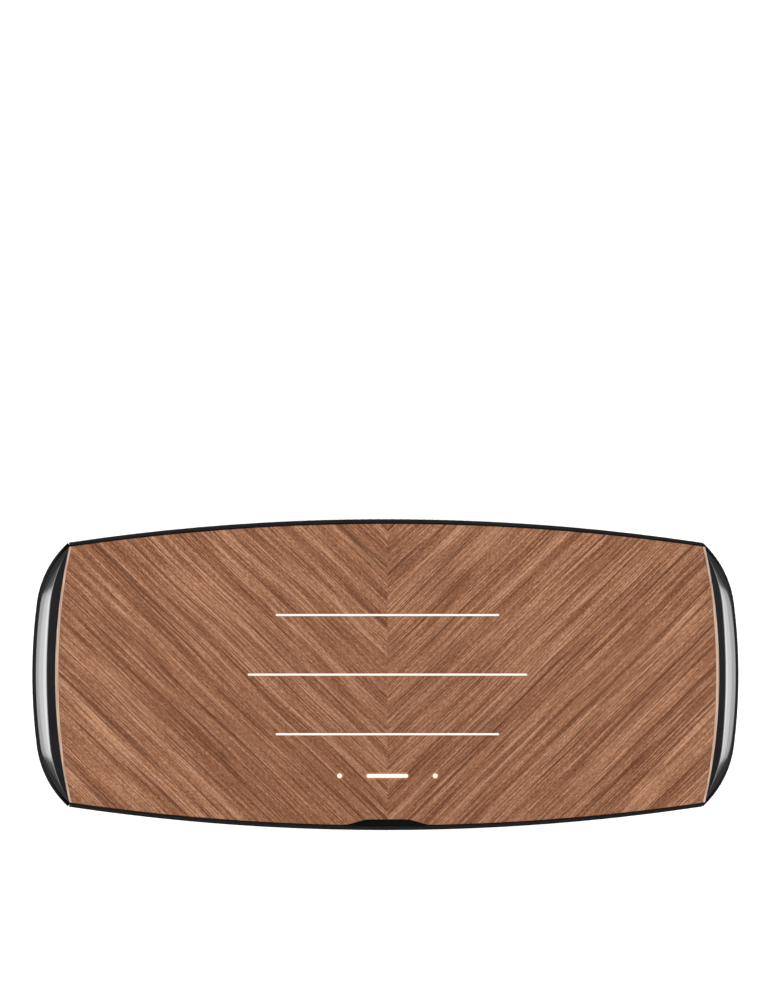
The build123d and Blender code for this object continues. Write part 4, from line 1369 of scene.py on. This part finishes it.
@dataclass
class Deck:
    """The veneered deck with its light guides, badge notch and pale inlays at the ends."""

    hull: Hull
    edge_gap: float = 0.3
    end_in: float = 23.0
    bow: float = 633.0
    inlay_width: float = 3.0
    inlay_corner: float = 2.2
    inlay_gap: float = 0.05
    inlay_bow: float = 537.0
    ease: float = 0.7
    inlay_ease: float = 0.4
    notch_half: float = 41.0
    notch_flat: float = 16.0
    notch_rise: float = 5.4
    notch_margin: float = 0.5
    long_steps: int = 220
    end_steps: int = 120
    notch_steps: int = 121
    inlay_steps: int = 140
    gap: float = 0.1
    controls: tuple[str, ...] = ("light_bar", "touch_dots")
    lines: tuple[str, ...] = ("light_line_rear", "light_line_middle", "light_line_front")
    foot_reach: float = 1.5
    foot_height: float = 1.2
    face_ease: float = 0.25
    crown: float = 0.02
    bars: dict[str, list[tuple[float, ...]]] = field(default_factory=dict, init=False)

    def __post_init__(self) -> None:
        """Works out the deck's loop, and every light's place from its CAD node."""
        seat = self.hull.body(self.hull.deck_seat).inset(self.edge_gap)
        corner = seat.corner_x + seat.mitre[0] * self.edge_gap - self.inlay_corner
        end = self.hull.half_length - self.end_in
        self.loop = replace(
            seat, corner_x=corner, corner_y=seat.bow_y(corner), end_x=end, bow=self.bow
        )
        for name in (*self.lines, *self.controls):
            lo, hi = low(name) + self.foot_reach, high(name) - self.foot_reach
            middle, size = (lo + hi) / 2, hi - lo
            if name == "touch_dots":
                width = size[1]
                reach = (size[0] - width) / 2
                self.bars[name] = [(side * reach, middle[1], width, width) for side in (-1, 1)]
            else:
                self.bars[name] = [(middle[0], middle[1], size[0], size[1])]

    def long_edge(self, side: int, count: int) -> Array:
        """The front (with its notch) or rear edge, from left to right, shape (count, 2).

        The notch rises from the bow to its flat with the smooth step 3t^2 - 2t^3.

        Args:
            side: Front (-1) or rear (1).
            count: Points along it, apart from the notch.

        Returns:
            The points.
        """
        x = np.linspace(-self.loop.corner_x, self.loop.corner_x, count)
        if side < 0:
            steps = np.linspace(-self.notch_half, self.notch_half, self.notch_steps)
            clear = np.abs(x) > self.notch_half + self.notch_margin
            x = np.unique(np.concatenate([x[clear], steps]))
        y = side * self.loop.bow_y(x)
        if side < 0:
            run = self.notch_half - self.notch_flat
            t = np.clip((self.notch_half - np.abs(x)) / run, 0, 1)
            foot = -self.loop.bow_y(self.notch_half)
            flat = self.notch_rise - self.loop.middle_y
            lifted = foot + (flat - foot) * t * t * (3 - 2 * t)
            y = np.where(np.abs(x) < self.notch_half, lifted, y)
        return np.stack([x, y], axis=1)

    def outline(self) -> Array:
        """The deck's anticlockwise outline from its front left corner.

        Returns:
            The outline, shape (n, 2).
        """
        right = np.stack(self.loop.end(np.linspace(-1, 1, self.end_steps)), axis=1)
        front = self.long_edge(-1, self.long_steps)
        rear = self.long_edge(1, self.long_steps)[::-1]
        return np.concatenate([front[:-1], right[:-1], rear[:-1], -right[:-1]])

    def build_panel(self) -> None:
        """The veneered plate, with a slot for each light guide."""
        holes = [
            rounded_bar((x, y), length + 2 * self.gap, width + 2 * self.gap)[::-1]
            for places in self.bars.values()
            for x, y, length, width in places
        ]
        bottom, top = self.hull.deck_seat, self.hull.deck_top
        made = plate("deck_veneer", self.outline(), holes, bottom, top, self.ease)
        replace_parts(fit(made, DECK, "deck_panel"), "deck_panel")

    def build_inlays(self) -> None:
        """The pale strips between the veneer's ends and the dark bands."""
        s = np.linspace(-1, 1, self.inlay_steps)
        inner = replace(
            self.loop,
            corner_x=self.loop.corner_x + self.inlay_gap,
            end_x=self.loop.end_x + self.inlay_gap,
        )
        wide = self.hull.half_length - self.hull.corner_setback
        outer = replace(
            self.loop,
            corner_x=wide,
            corner_y=self.loop.bow_y(wide),
            end_x=self.loop.end_x + self.inlay_width,
            bow=self.inlay_bow,
        )
        bottom, top = self.hull.deck_seat, self.hull.deck_top
        right = np.concatenate([np.stack(outer.end(s), axis=1), np.stack(inner.end(-s), axis=1)])
        for end, side in ENDS:
            strip = (right * (-1, 1))[::-1] if side < 0 else right
            made = plate(f"inlay_{end}", strip, [], bottom, top, self.inlay_ease)
            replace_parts(fit(made, INLAY, f"deck_inlay_{end}"), f"deck_inlay_{end}")

    def build_lights(self) -> None:
        """The light guides, each a stack of rings carried up its profile."""
        for name, places in self.bars.items():
            lamp = Guide.LINE if name in self.lines else Guide.CONTROL
            made = stacked(f"guide_{name}", [self.guide(*bar) for bar in places])
            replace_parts(fit(made, lamp.value, name), name)

    def guide(self, x: float, y: float, length: float, width: float) -> Array:
        """One light guide: a foot under the frame, a shaft, and an eased, crowned face.

        Each ring is a bar's outline that reaches out by the profile's offset, at its height.

        Args:
            x: Middle of the bar in X.
            y: Middle of the bar in Y.
            length: Length of its face.
            width: Width of its face.

        Returns:
            Its rings, shape (rings, points, 3).
        """
        top, under = self.hull.deck_top, self.hull.frame_bottom
        foot, ease = under - self.foot_height, self.face_ease
        profile = [(-width / 2, foot), (self.foot_reach, foot), (self.foot_reach, under), (0.0, under)]
        for turn in np.linspace(0, math.pi / 2, 4):
            drop = ease * (1 - math.sin(turn)) + self.crown
            profile.append((ease * (math.cos(turn) - 1), top - drop))
        profile.append((-width / 2, top))
        rings = []
        for reach, height in profile:
            ring = rounded_bar((x, y), length + 2 * reach, width + 2 * reach)
            rings.append(np.column_stack([ring, np.full(len(ring), height)]))
        return np.stack(rings)

    def build(self) -> None:
        """Builds the deck's pieces in order, and dresses the frame under them."""
        self.build_panel()
        self.build_inlays()
        self.build_lights()
        paint(RIM, "top_frame")


# ---------------------------------------------------------------- shoulders
@dataclass
class Shoulders:
    """The polished trims round both ends and the perforated bands above them."""

    hull: Hull
    trim_width: float = 9.8
    lip: float = 3.0
    lip_round: float = 0.7
    crown: float = 0.35
    trim_bow: float = 680.0
    band_bow: float = 537.0
    wall: float = 3.0
    band_step: float = 0.6
    band_end_in: float = 20.0
    band_thickness: float = 0.8
    band_rise: float = 7.0
    hole: float = 0.62
    hole_sides: int = 8
    pitch: float = 1.9
    trim_size: Point2 = (15.0, 262.0)
    trim_steps: tuple[int, int] = (60, 190)
    trim_roll: float = 0.3
    band_length: float = 256.0

    def trim_profile(self) -> tuple[Array, Array]:
        """Width in from the lip and height above the trim's foot, along its section.

        The section is an upright lip, a corner rounded as a quadratic curve between its two
        tangent points, and a slope whose rise is (1 + crown) t - crown t^2.

        Returns:
            The widths and the heights, in order.
        """
        tall = self.hull.trim_top - self.hull.trim_bottom - self.lip
        t = np.linspace(0, 1, 40)
        share = self.lip_round / self.trim_width
        rise = (1 + self.crown) * t - self.crown * t**2
        slope = np.stack([self.trim_width * t, self.lip + tall * rise])[:, t > share]
        ends = np.array([(0.0, self.lip - self.lip_round), (0.0, self.lip), tuple(slope[:, 0])])
        s = np.linspace(0, 1, 12)[:, None]
        corner = (1 - s) ** 2 * ends[0] + 2 * s * (1 - s) * ends[1] + s**2 * ends[2]
        run = np.concatenate([[(0.0, 0.0)], corner, slope.T[1:]])
        return run[:, 0], run[:, 1]

    def trim_face(self, side: int) -> Place:
        """Surface of a trim: u runs along its section, v from front to rear.

        Args:
            side: Left (-1) or right (1).

        Returns:
            A surface for slab.
        """
        width, rise = self.trim_profile()
        run = np.concatenate([[0.0], np.cumsum(np.hypot(np.diff(width), np.diff(rise)))])
        run /= run[-1]

        def place(u: Array, v: Array, depth: Array) -> Array:
            """Points of the surface, in by depth.

            Args:
                u: Share of the way up, 0 to 1.
                v: Share of the way across, 0 to 1.
                depth: Depth under the surface.

            Returns:
                Points in millimetres, with a last axis of three.
            """
            within = np.interp(u, run, width)
            z = self.hull.trim_bottom + np.interp(u, run, rise)
            share = within / self.trim_width
            reach = self.hull.half_length - self.hull.rim - within
            bow = self.hull.end_bow + (self.trim_bow - self.hull.end_bow) * share
            level = self.hull.end_level(z, reach, bow, self.hull.rim)
            x, y = level.inset(depth).end(2 * v - 1)
            return np.stack(np.broadcast_arrays(side * x, y, z), axis=-1)

        return place

    def band_face(self, side: int) -> Place:
        """Surface of a band: u runs straight up its slope, v from front to rear.

        Args:
            side: Left (-1) or right (1).

        Returns:
            A surface for perforate.
        """

        def place(u: Array, v: Array, depth: Array) -> Array:
            """Points of the surface, in by depth.

            Args:
                u: Share of the way up, 0 to 1.
                v: Share of the way across, 0 to 1.
                depth: Depth under the surface.

            Returns:
                Points in millimetres, with a last axis of three.
            """
            z = self.hull.trim_top + u * (self.hull.frame_bottom - self.hull.trim_top)
            low_x = self.hull.half_length - self.hull.rim - self.trim_width - self.band_step
            high_x = self.hull.half_length - self.band_end_in
            bow = self.trim_bow + u * (self.band_bow - self.trim_bow)
            level = self.hull.end_level(z, low_x + u * (high_x - low_x), bow, self.hull.rim)
            x, y = level.inset(depth).end(2 * v - 1)
            return np.stack(np.broadcast_arrays(side * x, y, z), axis=-1)

        return place

    def hole_rings(self, size: Point2) -> Array:
        """Round holes on a staggered lattice, centred on a flat sheet.

        Args:
            size: Size of the sheet, up and along.

        Returns:
            Points along and up, shape (holes, sides, 2).
        """
        rise = self.pitch * math.sqrt(3) / 2
        rows = int((size[0] - 3 * self.hole) / rise)
        columns = int((size[1] - 4 * self.hole) / self.pitch) - 1
        row, column = np.mgrid[0:rows, 0:columns]
        along = (column + (row % 2) / 2) * self.pitch
        centre = np.stack([along, row * rise], axis=-1).reshape(-1, 2)
        centre += (np.array([size[1], size[0]]) - centre.max(0)) / 2
        turn = np.linspace(0, math.tau, self.hole_sides, endpoint=False)
        return centre[:, None] + np.stack([np.cos(turn), -np.sin(turn)], axis=1) * self.hole

    def perforate(self, name: str, place: Place, size: Point2) -> Object:
        """A sheet with round holes on a staggered lattice, laid on a surface.

        The flat sheet, size[0] up by size[1] along, is filled with triangles round the
        holes, and then each point goes to both skins and each ring gets its wall.

        Args:
            name: Name of the piece.
            place: The surface.
            size: Real size of the sheet, up and along.

        Returns:
            The new object.
        """
        rings = self.hole_rings(size)
        along = np.linspace(0, size[1], 130)
        up = np.linspace(0, size[0], 6)[1:-1]
        border = np.concatenate(
            [
                np.stack([along, 0 * along], axis=1),
                np.stack([0 * up + size[1], up], axis=1),
                np.stack([along[::-1], 0 * along + size[0]], axis=1),
                np.stack([0 * up, up[::-1]], axis=1),
            ]
        )
        points = np.concatenate([border, rings.reshape(-1, 2)])
        edge = np.arange(len(border))[None]
        ring = len(border) + np.arange(rings.size // 2).reshape(-1, self.hole_sides)
        loops = [(ids, np.roll(ids, -1, axis=-1)) for ids in (edge, ring)]
        triangles = self.fill(points, loops, len(border))
        u, v = points[:, 1] / size[0], points[:, 0] / size[1]
        depths = (0.0, self.band_thickness)
        skins = [place(u, v, np.full(len(u), depth)) for depth in depths]
        count = len(points)
        walls = [
            np.stack([ids, after, after + count, ids + count], axis=-1).reshape(-1, 4)
            for ids, after in loops
        ]
        flat = np.stack([points, points]) * METRE
        return piece(name, np.stack(skins), [triangles, triangles[:, ::-1] + count, *walls], flat)

    def fill(self, points: Array, loops: Sequence[tuple[Array, Array]], outer: int) -> Array:
        """Triangles of the flat sheet, without those whose corners lie on one hole.

        Args:
            points: Points of the border, then of every hole, shape (n, 2).
            loops: Corner numbers of the outlines, and of the corners that follow them.
            outer: Number of points in the border.

        Returns:
            The triangles, shape (n, 3).
        """
        edges = np.concatenate([np.stack(pair, axis=-1).reshape(-1, 2) for pair in loops])
        made = delaunay_2d_cdt(points.tolist(), edges.tolist(), [], 0, 1e-7)
        source = np.array([first[0] for first in made[3]])
        triangles = source[np.array(made[2])]
        owner = (triangles - outer) // self.hole_sides
        on_border = (triangles < outer).any(axis=1)
        in_hole = (owner == owner[:, :1]).all(axis=1) & ~on_border
        return triangles[~in_hole]

    def build(self) -> None:
        """Builds both trims and both bands."""
        slope = math.hypot(self.hull.frame_bottom - self.hull.trim_top, self.band_rise)
        for end, side in ENDS:
            trim = slab(
                f"trim_{end}",
                self.trim_face(side),
                self.trim_size,
                self.trim_steps,
                self.wall,
                self.trim_roll,
            )
            node = f"shoulder_trim_{end}"
            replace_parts(fit(trim, TRIM, node), node)
            band = self.perforate(f"band_{end}", self.band_face(side), (slope, self.band_length))
            node = f"mesh_band_{end}"
            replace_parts(fit(band, BAND, node), node)


# ---------------------------------------------------------------- grilles
@dataclass(frozen=True)
class Cut:
    """A cloth's flat cut, in millimetres, and the steps of its grid up and along."""

    length: float
    height: float
    area: float
    steps: tuple[int, int]


@dataclass
class Grilles:
    """The woven covers of the front and both ends, over their black frames."""

    hull: Hull
    front: Cut = Cut(length=590.0, height=106.0, area=61300.0, steps=(46, 200))
    end: Cut = Cut(length=262.0, height=88.0, area=21700.0, steps=(40, 130))
    thickness: float = 1.0
    roll: float = 0.9

    def lay(self, name: str, node: str, face: Place, cut: Cut) -> None:
        """Lays one cloth over its frame.

        Args:
            name: Name of the piece.
            node: The CAD node that it stands for.
            face: The surface that it follows.
            cut: Its flat cut.
        """
        made = slab(name, face, (cut.height, cut.length), cut.steps, self.thickness, self.roll)
        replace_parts(fit(made, CLOTH, node), node)

    def build(self) -> None:
        """Lays the three cloths, and dresses the frames behind them."""
        face = self.hull.long_face(-1)
        self.lay("cloth_front", "front_grille_cloth", face, self.front)
        for end, side in ENDS:
            face = self.hull.end_face(side)
            self.lay(f"cloth_{end}", f"end_cloth_{end}", face, self.end)
        paint(RIM, "front_grille_frame", "end_panel_left", "end_panel_right")


# ---------------------------------------------------------------- case
@dataclass
class Case:
    """The rear cover with its sockets, the tray, guard, feet and screws."""

    hull: Hull
    foot_profile: tuple[tuple[float, float], ...] = (
        (0.0, 12.0), (15.0, 12.0), (14.6, 9.5), (13.7, 5.0), (13.2, 1.9), (12.9, 0.9), (12.3, 0.25),
        (11.5, 0.0), (9.6, 0.0), (9.2, 0.25), (9.0, 0.7), (0.0, 0.7),
    )
    foot_steps: int = 64
    contact_length: float = 6.0
    contact_pitch: float = 1.27
    contacts: int = 8
    contact_start: Point2 = (2.0, 3.4)
    contact_bend: Point2 = (3.2, 1.2)
    contact_half: Point2 = (0.28125, 0.12)

    def build_feet(self) -> None:
        """Four turned rubber feet: a tapering side, a rounded tread and a hollow middle."""
        x, y = high("feet")[:2] - self.foot_profile[1][0]
        places = [(along * x, across * y) for along in (-1, 1) for across in (-1, 1)]
        stacks = [lathe(place, self.foot_profile, self.foot_steps) for place in places]
        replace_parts(fit(stacked("rubber_feet", stacks), RUBBER, "feet"), "feet")

    def build_contacts(self) -> None:
        """Eight sprung contacts in the network socket: bent strips, a bar carried on an arc."""
        lo, hi = low("lan_socket"), high("lan_socket")
        middle = (lo + hi) / 2
        t = np.linspace(0, 1, 10)
        y = hi[1] - self.contact_start[0] - t * self.contact_length
        drop = self.contact_bend[0] * np.sin(t * self.contact_bend[1])
        path = np.column_stack([0 * t, y, middle[2] + self.contact_start[1] - drop])
        stacks = []
        for index in range(self.contacts):
            x = middle[0] + (index - (self.contacts - 1) / 2) * self.contact_pitch
            corners = np.array([(-1, -1), (1, -1), (1, 1), (-1, 1)]) * self.contact_half
            ring = np.stack([x + corners[:, 0], 0 * corners[:, 0], corners[:, 1]], axis=1)
            body = ring[None] + path[:, None]
            ends = [np.broadcast_to(body[k].mean(0), (1, 4, 3)) for k in (0, -1)]
            stacks.append(np.concatenate([ends[0], body, ends[1]]))
        fit(stacked("lan_contacts", stacks), GOLD, "lan_socket")

    def build(self) -> None:
        """Builds the feet and contacts, and dresses the case's CAD pieces."""
        self.build_feet()
        self.build_contacts()
        paint(CASE, "rear_cover")
        paint(TRAY, "base_tray")
        paint(GUARD, "woofer_guard")
        paint(STEEL, "tray_screws", "driver_screws")
        paint(RIM, "connector_plate")
        paint(SOCKET_BLACK, "mains_inlet", "line_socket")
        paint(SOCKET_BLACK, "power_switch", "power_rocker", "setup_button")
        paint(NICKEL, "hdmi_socket", "lan_socket")


# ---------------------------------------------------------------- insides
@dataclass
class Insides:
    """The cabinet, drivers and boards, which show through the openings and the cloth's gaps."""

    hull: Hull

    def cone_finish(self, name: str, axis: int) -> Pulp:
        """Pressed paper ringed about the middle of one cone.

        Args:
            name: The cone's node.
            axis: Axis of the cone: 0, 1 or 2.

        Returns:
            The finish.
        """
        middle = (low(name) + high(name)) / 2 * METRE
        return replace(PULP, name=f"pulp {name}", centre=tuple(middle), axis=axis)

    def build(self) -> None:
        """Dresses every inner CAD piece."""
        paint(CABINET, "cabinet_tub", "cabinet_lid")
        paint(CHASSIS, "woofer_basket", "tweeter_body_left", "tweeter_body_right")
        paint(FERRITE, "woofer_motor")
        paint(ROLL, "woofer_surround")
        paint(self.cone_finish("woofer_cone", 2), "woofer_cone")
        for end, _ in ENDS:
            for group, axis in (("mid", 1), ("side", 0)):
                paint(CHASSIS, f"{group}_chassis_{end}")
                paint(ROLL, f"{group}_surround_{end}")
                paint(self.cone_finish(f"{group}_cone_{end}", axis), f"{group}_cone_{end}")
            paint(SILK, f"tweeter_dome_{end}")
        paint(BOARD, "main_board", "power_board", "amplifier_board", "sensor_board")
        paint(ALUMINIUM, "amplifier_heatsink")


# ---------------------------------------------------------------- studio
@dataclass
class Studio:
    """Pale floor, even room light, soft boxes at each side and the camera above."""

    hull: Hull
    floor_side: float = 30.0
    floor_tones: Point2 = (0.88, 0.9)
    floor_glow: float = 0.45
    floor_return: float = 0.06
    lens: float = 900.0
    sensor: float = 36.0
    lean: float = math.radians(2.6)
    view_height: float = 0.9192
    shift: tuple[float, float] = (-0.0001, 0.1746)
    room: float = 0.42
    box_distance: float = 1.5
    box_width: float = 0.75
    boxes: tuple[tuple[float, float, float], ...] = ((0.02, 0.4, 2.5), (0.4, 0.8, 4.5), (0.8, 3.0, 6.5))
    ceiling: tuple[float, float, float, float] = (3.4, 3.2, 1.2, 2.2)
    fill: Point2 = (1.2, 2.5)
    fill_bottom: float = 0.1

    def build_floor(self) -> None:
        """A wide, pale floor with a faint mottle."""
        corners = np.array([(-1.0, -1.0, 0.0), (1.0, -1.0, 0.0), (1.0, 1.0, 0.0), (-1.0, 1.0, 0.0)])
        reach = self.floor_side / METRE / 2
        floor = piece("floor", corners * reach, [np.array([[0, 1, 2, 3]])])
        material = bpy.data.materials.new("floor")
        material.use_nodes = True
        g = Graph(material.node_tree)
        shader = material.node_tree.nodes["Principled BSDF"]
        shader.inputs["Specular IOR Level"].default_value = 0.0
        shader.inputs["Roughness"].default_value = 0.9
        shader.inputs["Emission Strength"].default_value = 1.0
        seen = g.add("LightPath").outputs["Is Camera Ray"]
        low_tone, high_tone = ((tone,) * 3 for tone in self.floor_tones)
        tone = g.mix(g.noise(g.place(), 2.0), low_tone, high_tone)
        base = g.mix(seen, (self.floor_return,) * 3, tone)
        glow = g.mix(seen, BLACK, (self.floor_glow,) * 3)
        g.tree.links.new(base, shader.inputs["Base Color"])
        g.tree.links.new(glow, shader.inputs["Emission Color"])
        floor.data.materials.append(material)

    def build_light(self) -> None:
        """The room's even light and, at each side, soft boxes over each other."""
        world = bpy.data.worlds.new("room")
        world.use_nodes = True
        background = world.node_tree.nodes["Background"]
        background.inputs["Color"].default_value = (1.0, 1.0, 1.0, 1.0)
        background.inputs["Strength"].default_value = self.room
        bpy.context.scene.world = world
        for end, side in ENDS:
            for bottom, top, glow in self.boxes:
                middle = (side * self.box_distance, 0.0, (bottom + top) / 2)
                self.soft_box(f"side_box_{end}", middle, (self.box_width, top - bottom), glow)
            width, glow = self.fill
            middle = (0.0, side * self.box_distance, self.fill_bottom + width / 2)
            self.soft_box(f"fill_box_{end}", middle, (width, width), glow)
        height, length, depth, glow = self.ceiling
        self.soft_box("ceiling", (0.0, 0.0, height), (length, depth), glow)

    def soft_box(self, name: str, middle: Point3, size: Point2, glow: float) -> None:
        """A lamp of even glow that faces the upright line through the object, or down on it.

        Args:
            name: Name of the lamp.
            middle: Where it hangs.
            size: Its width and height.
            glow: Its radiance.
        """
        light = bpy.data.lights.new(name, "AREA")
        light.shape = "RECTANGLE"
        light.size, light.size_y = size
        light.energy = glow * math.pi * light.size * light.size_y
        lamp = bpy.data.objects.new(name, light)
        lamp.location = middle
        level = Vector((-middle[0], -middle[1], 0.0))
        if level.length > 0:
            lamp.rotation_euler = level.to_track_quat("-Z", "Y").to_euler()
        lamp.visible_camera = False
        bpy.context.scene.collection.objects.link(lamp)

    def build_camera(self) -> None:
        """A long lens straight above, with the object low in the frame."""
        data = bpy.data.cameras.new("camera")
        data.lens, data.sensor_width = self.lens, self.sensor
        data.clip_end = 100.0
        data.shift_x, data.shift_y = self.shift
        camera = bpy.data.objects.new("camera", data)
        widest = Vector((0.0, 0.0, (self.hull.trim_bottom - self.hull.below_trim) * METRE))
        back = Vector((-math.sin(self.lean), 0.0, math.cos(self.lean)))
        camera.location = widest + back * (self.view_height * self.lens / self.sensor)
        camera.rotation_euler = (0.0, -self.lean, 0.0)
        bpy.context.scene.collection.objects.link(camera)
        bpy.context.scene.camera = camera

    def build(self) -> None:
        """Sets the stage and plain colour handling."""
        self.build_floor()
        self.build_light()
        self.build_camera()
        bpy.context.scene.view_settings.view_transform = "Standard"


def main() -> None:
    """Builds every sub-assembly in order."""
    logging.basicConfig(level=logging.INFO, format="%(name)s %(message)s")
    hull = Hull.from_frame()
    for assembly in (Deck, Shoulders, Grilles, Case, Insides, Studio):
        log.info("building %s", assembly.__name__)
        assembly(hull).build()


if __name__ == "__main__":
    main()
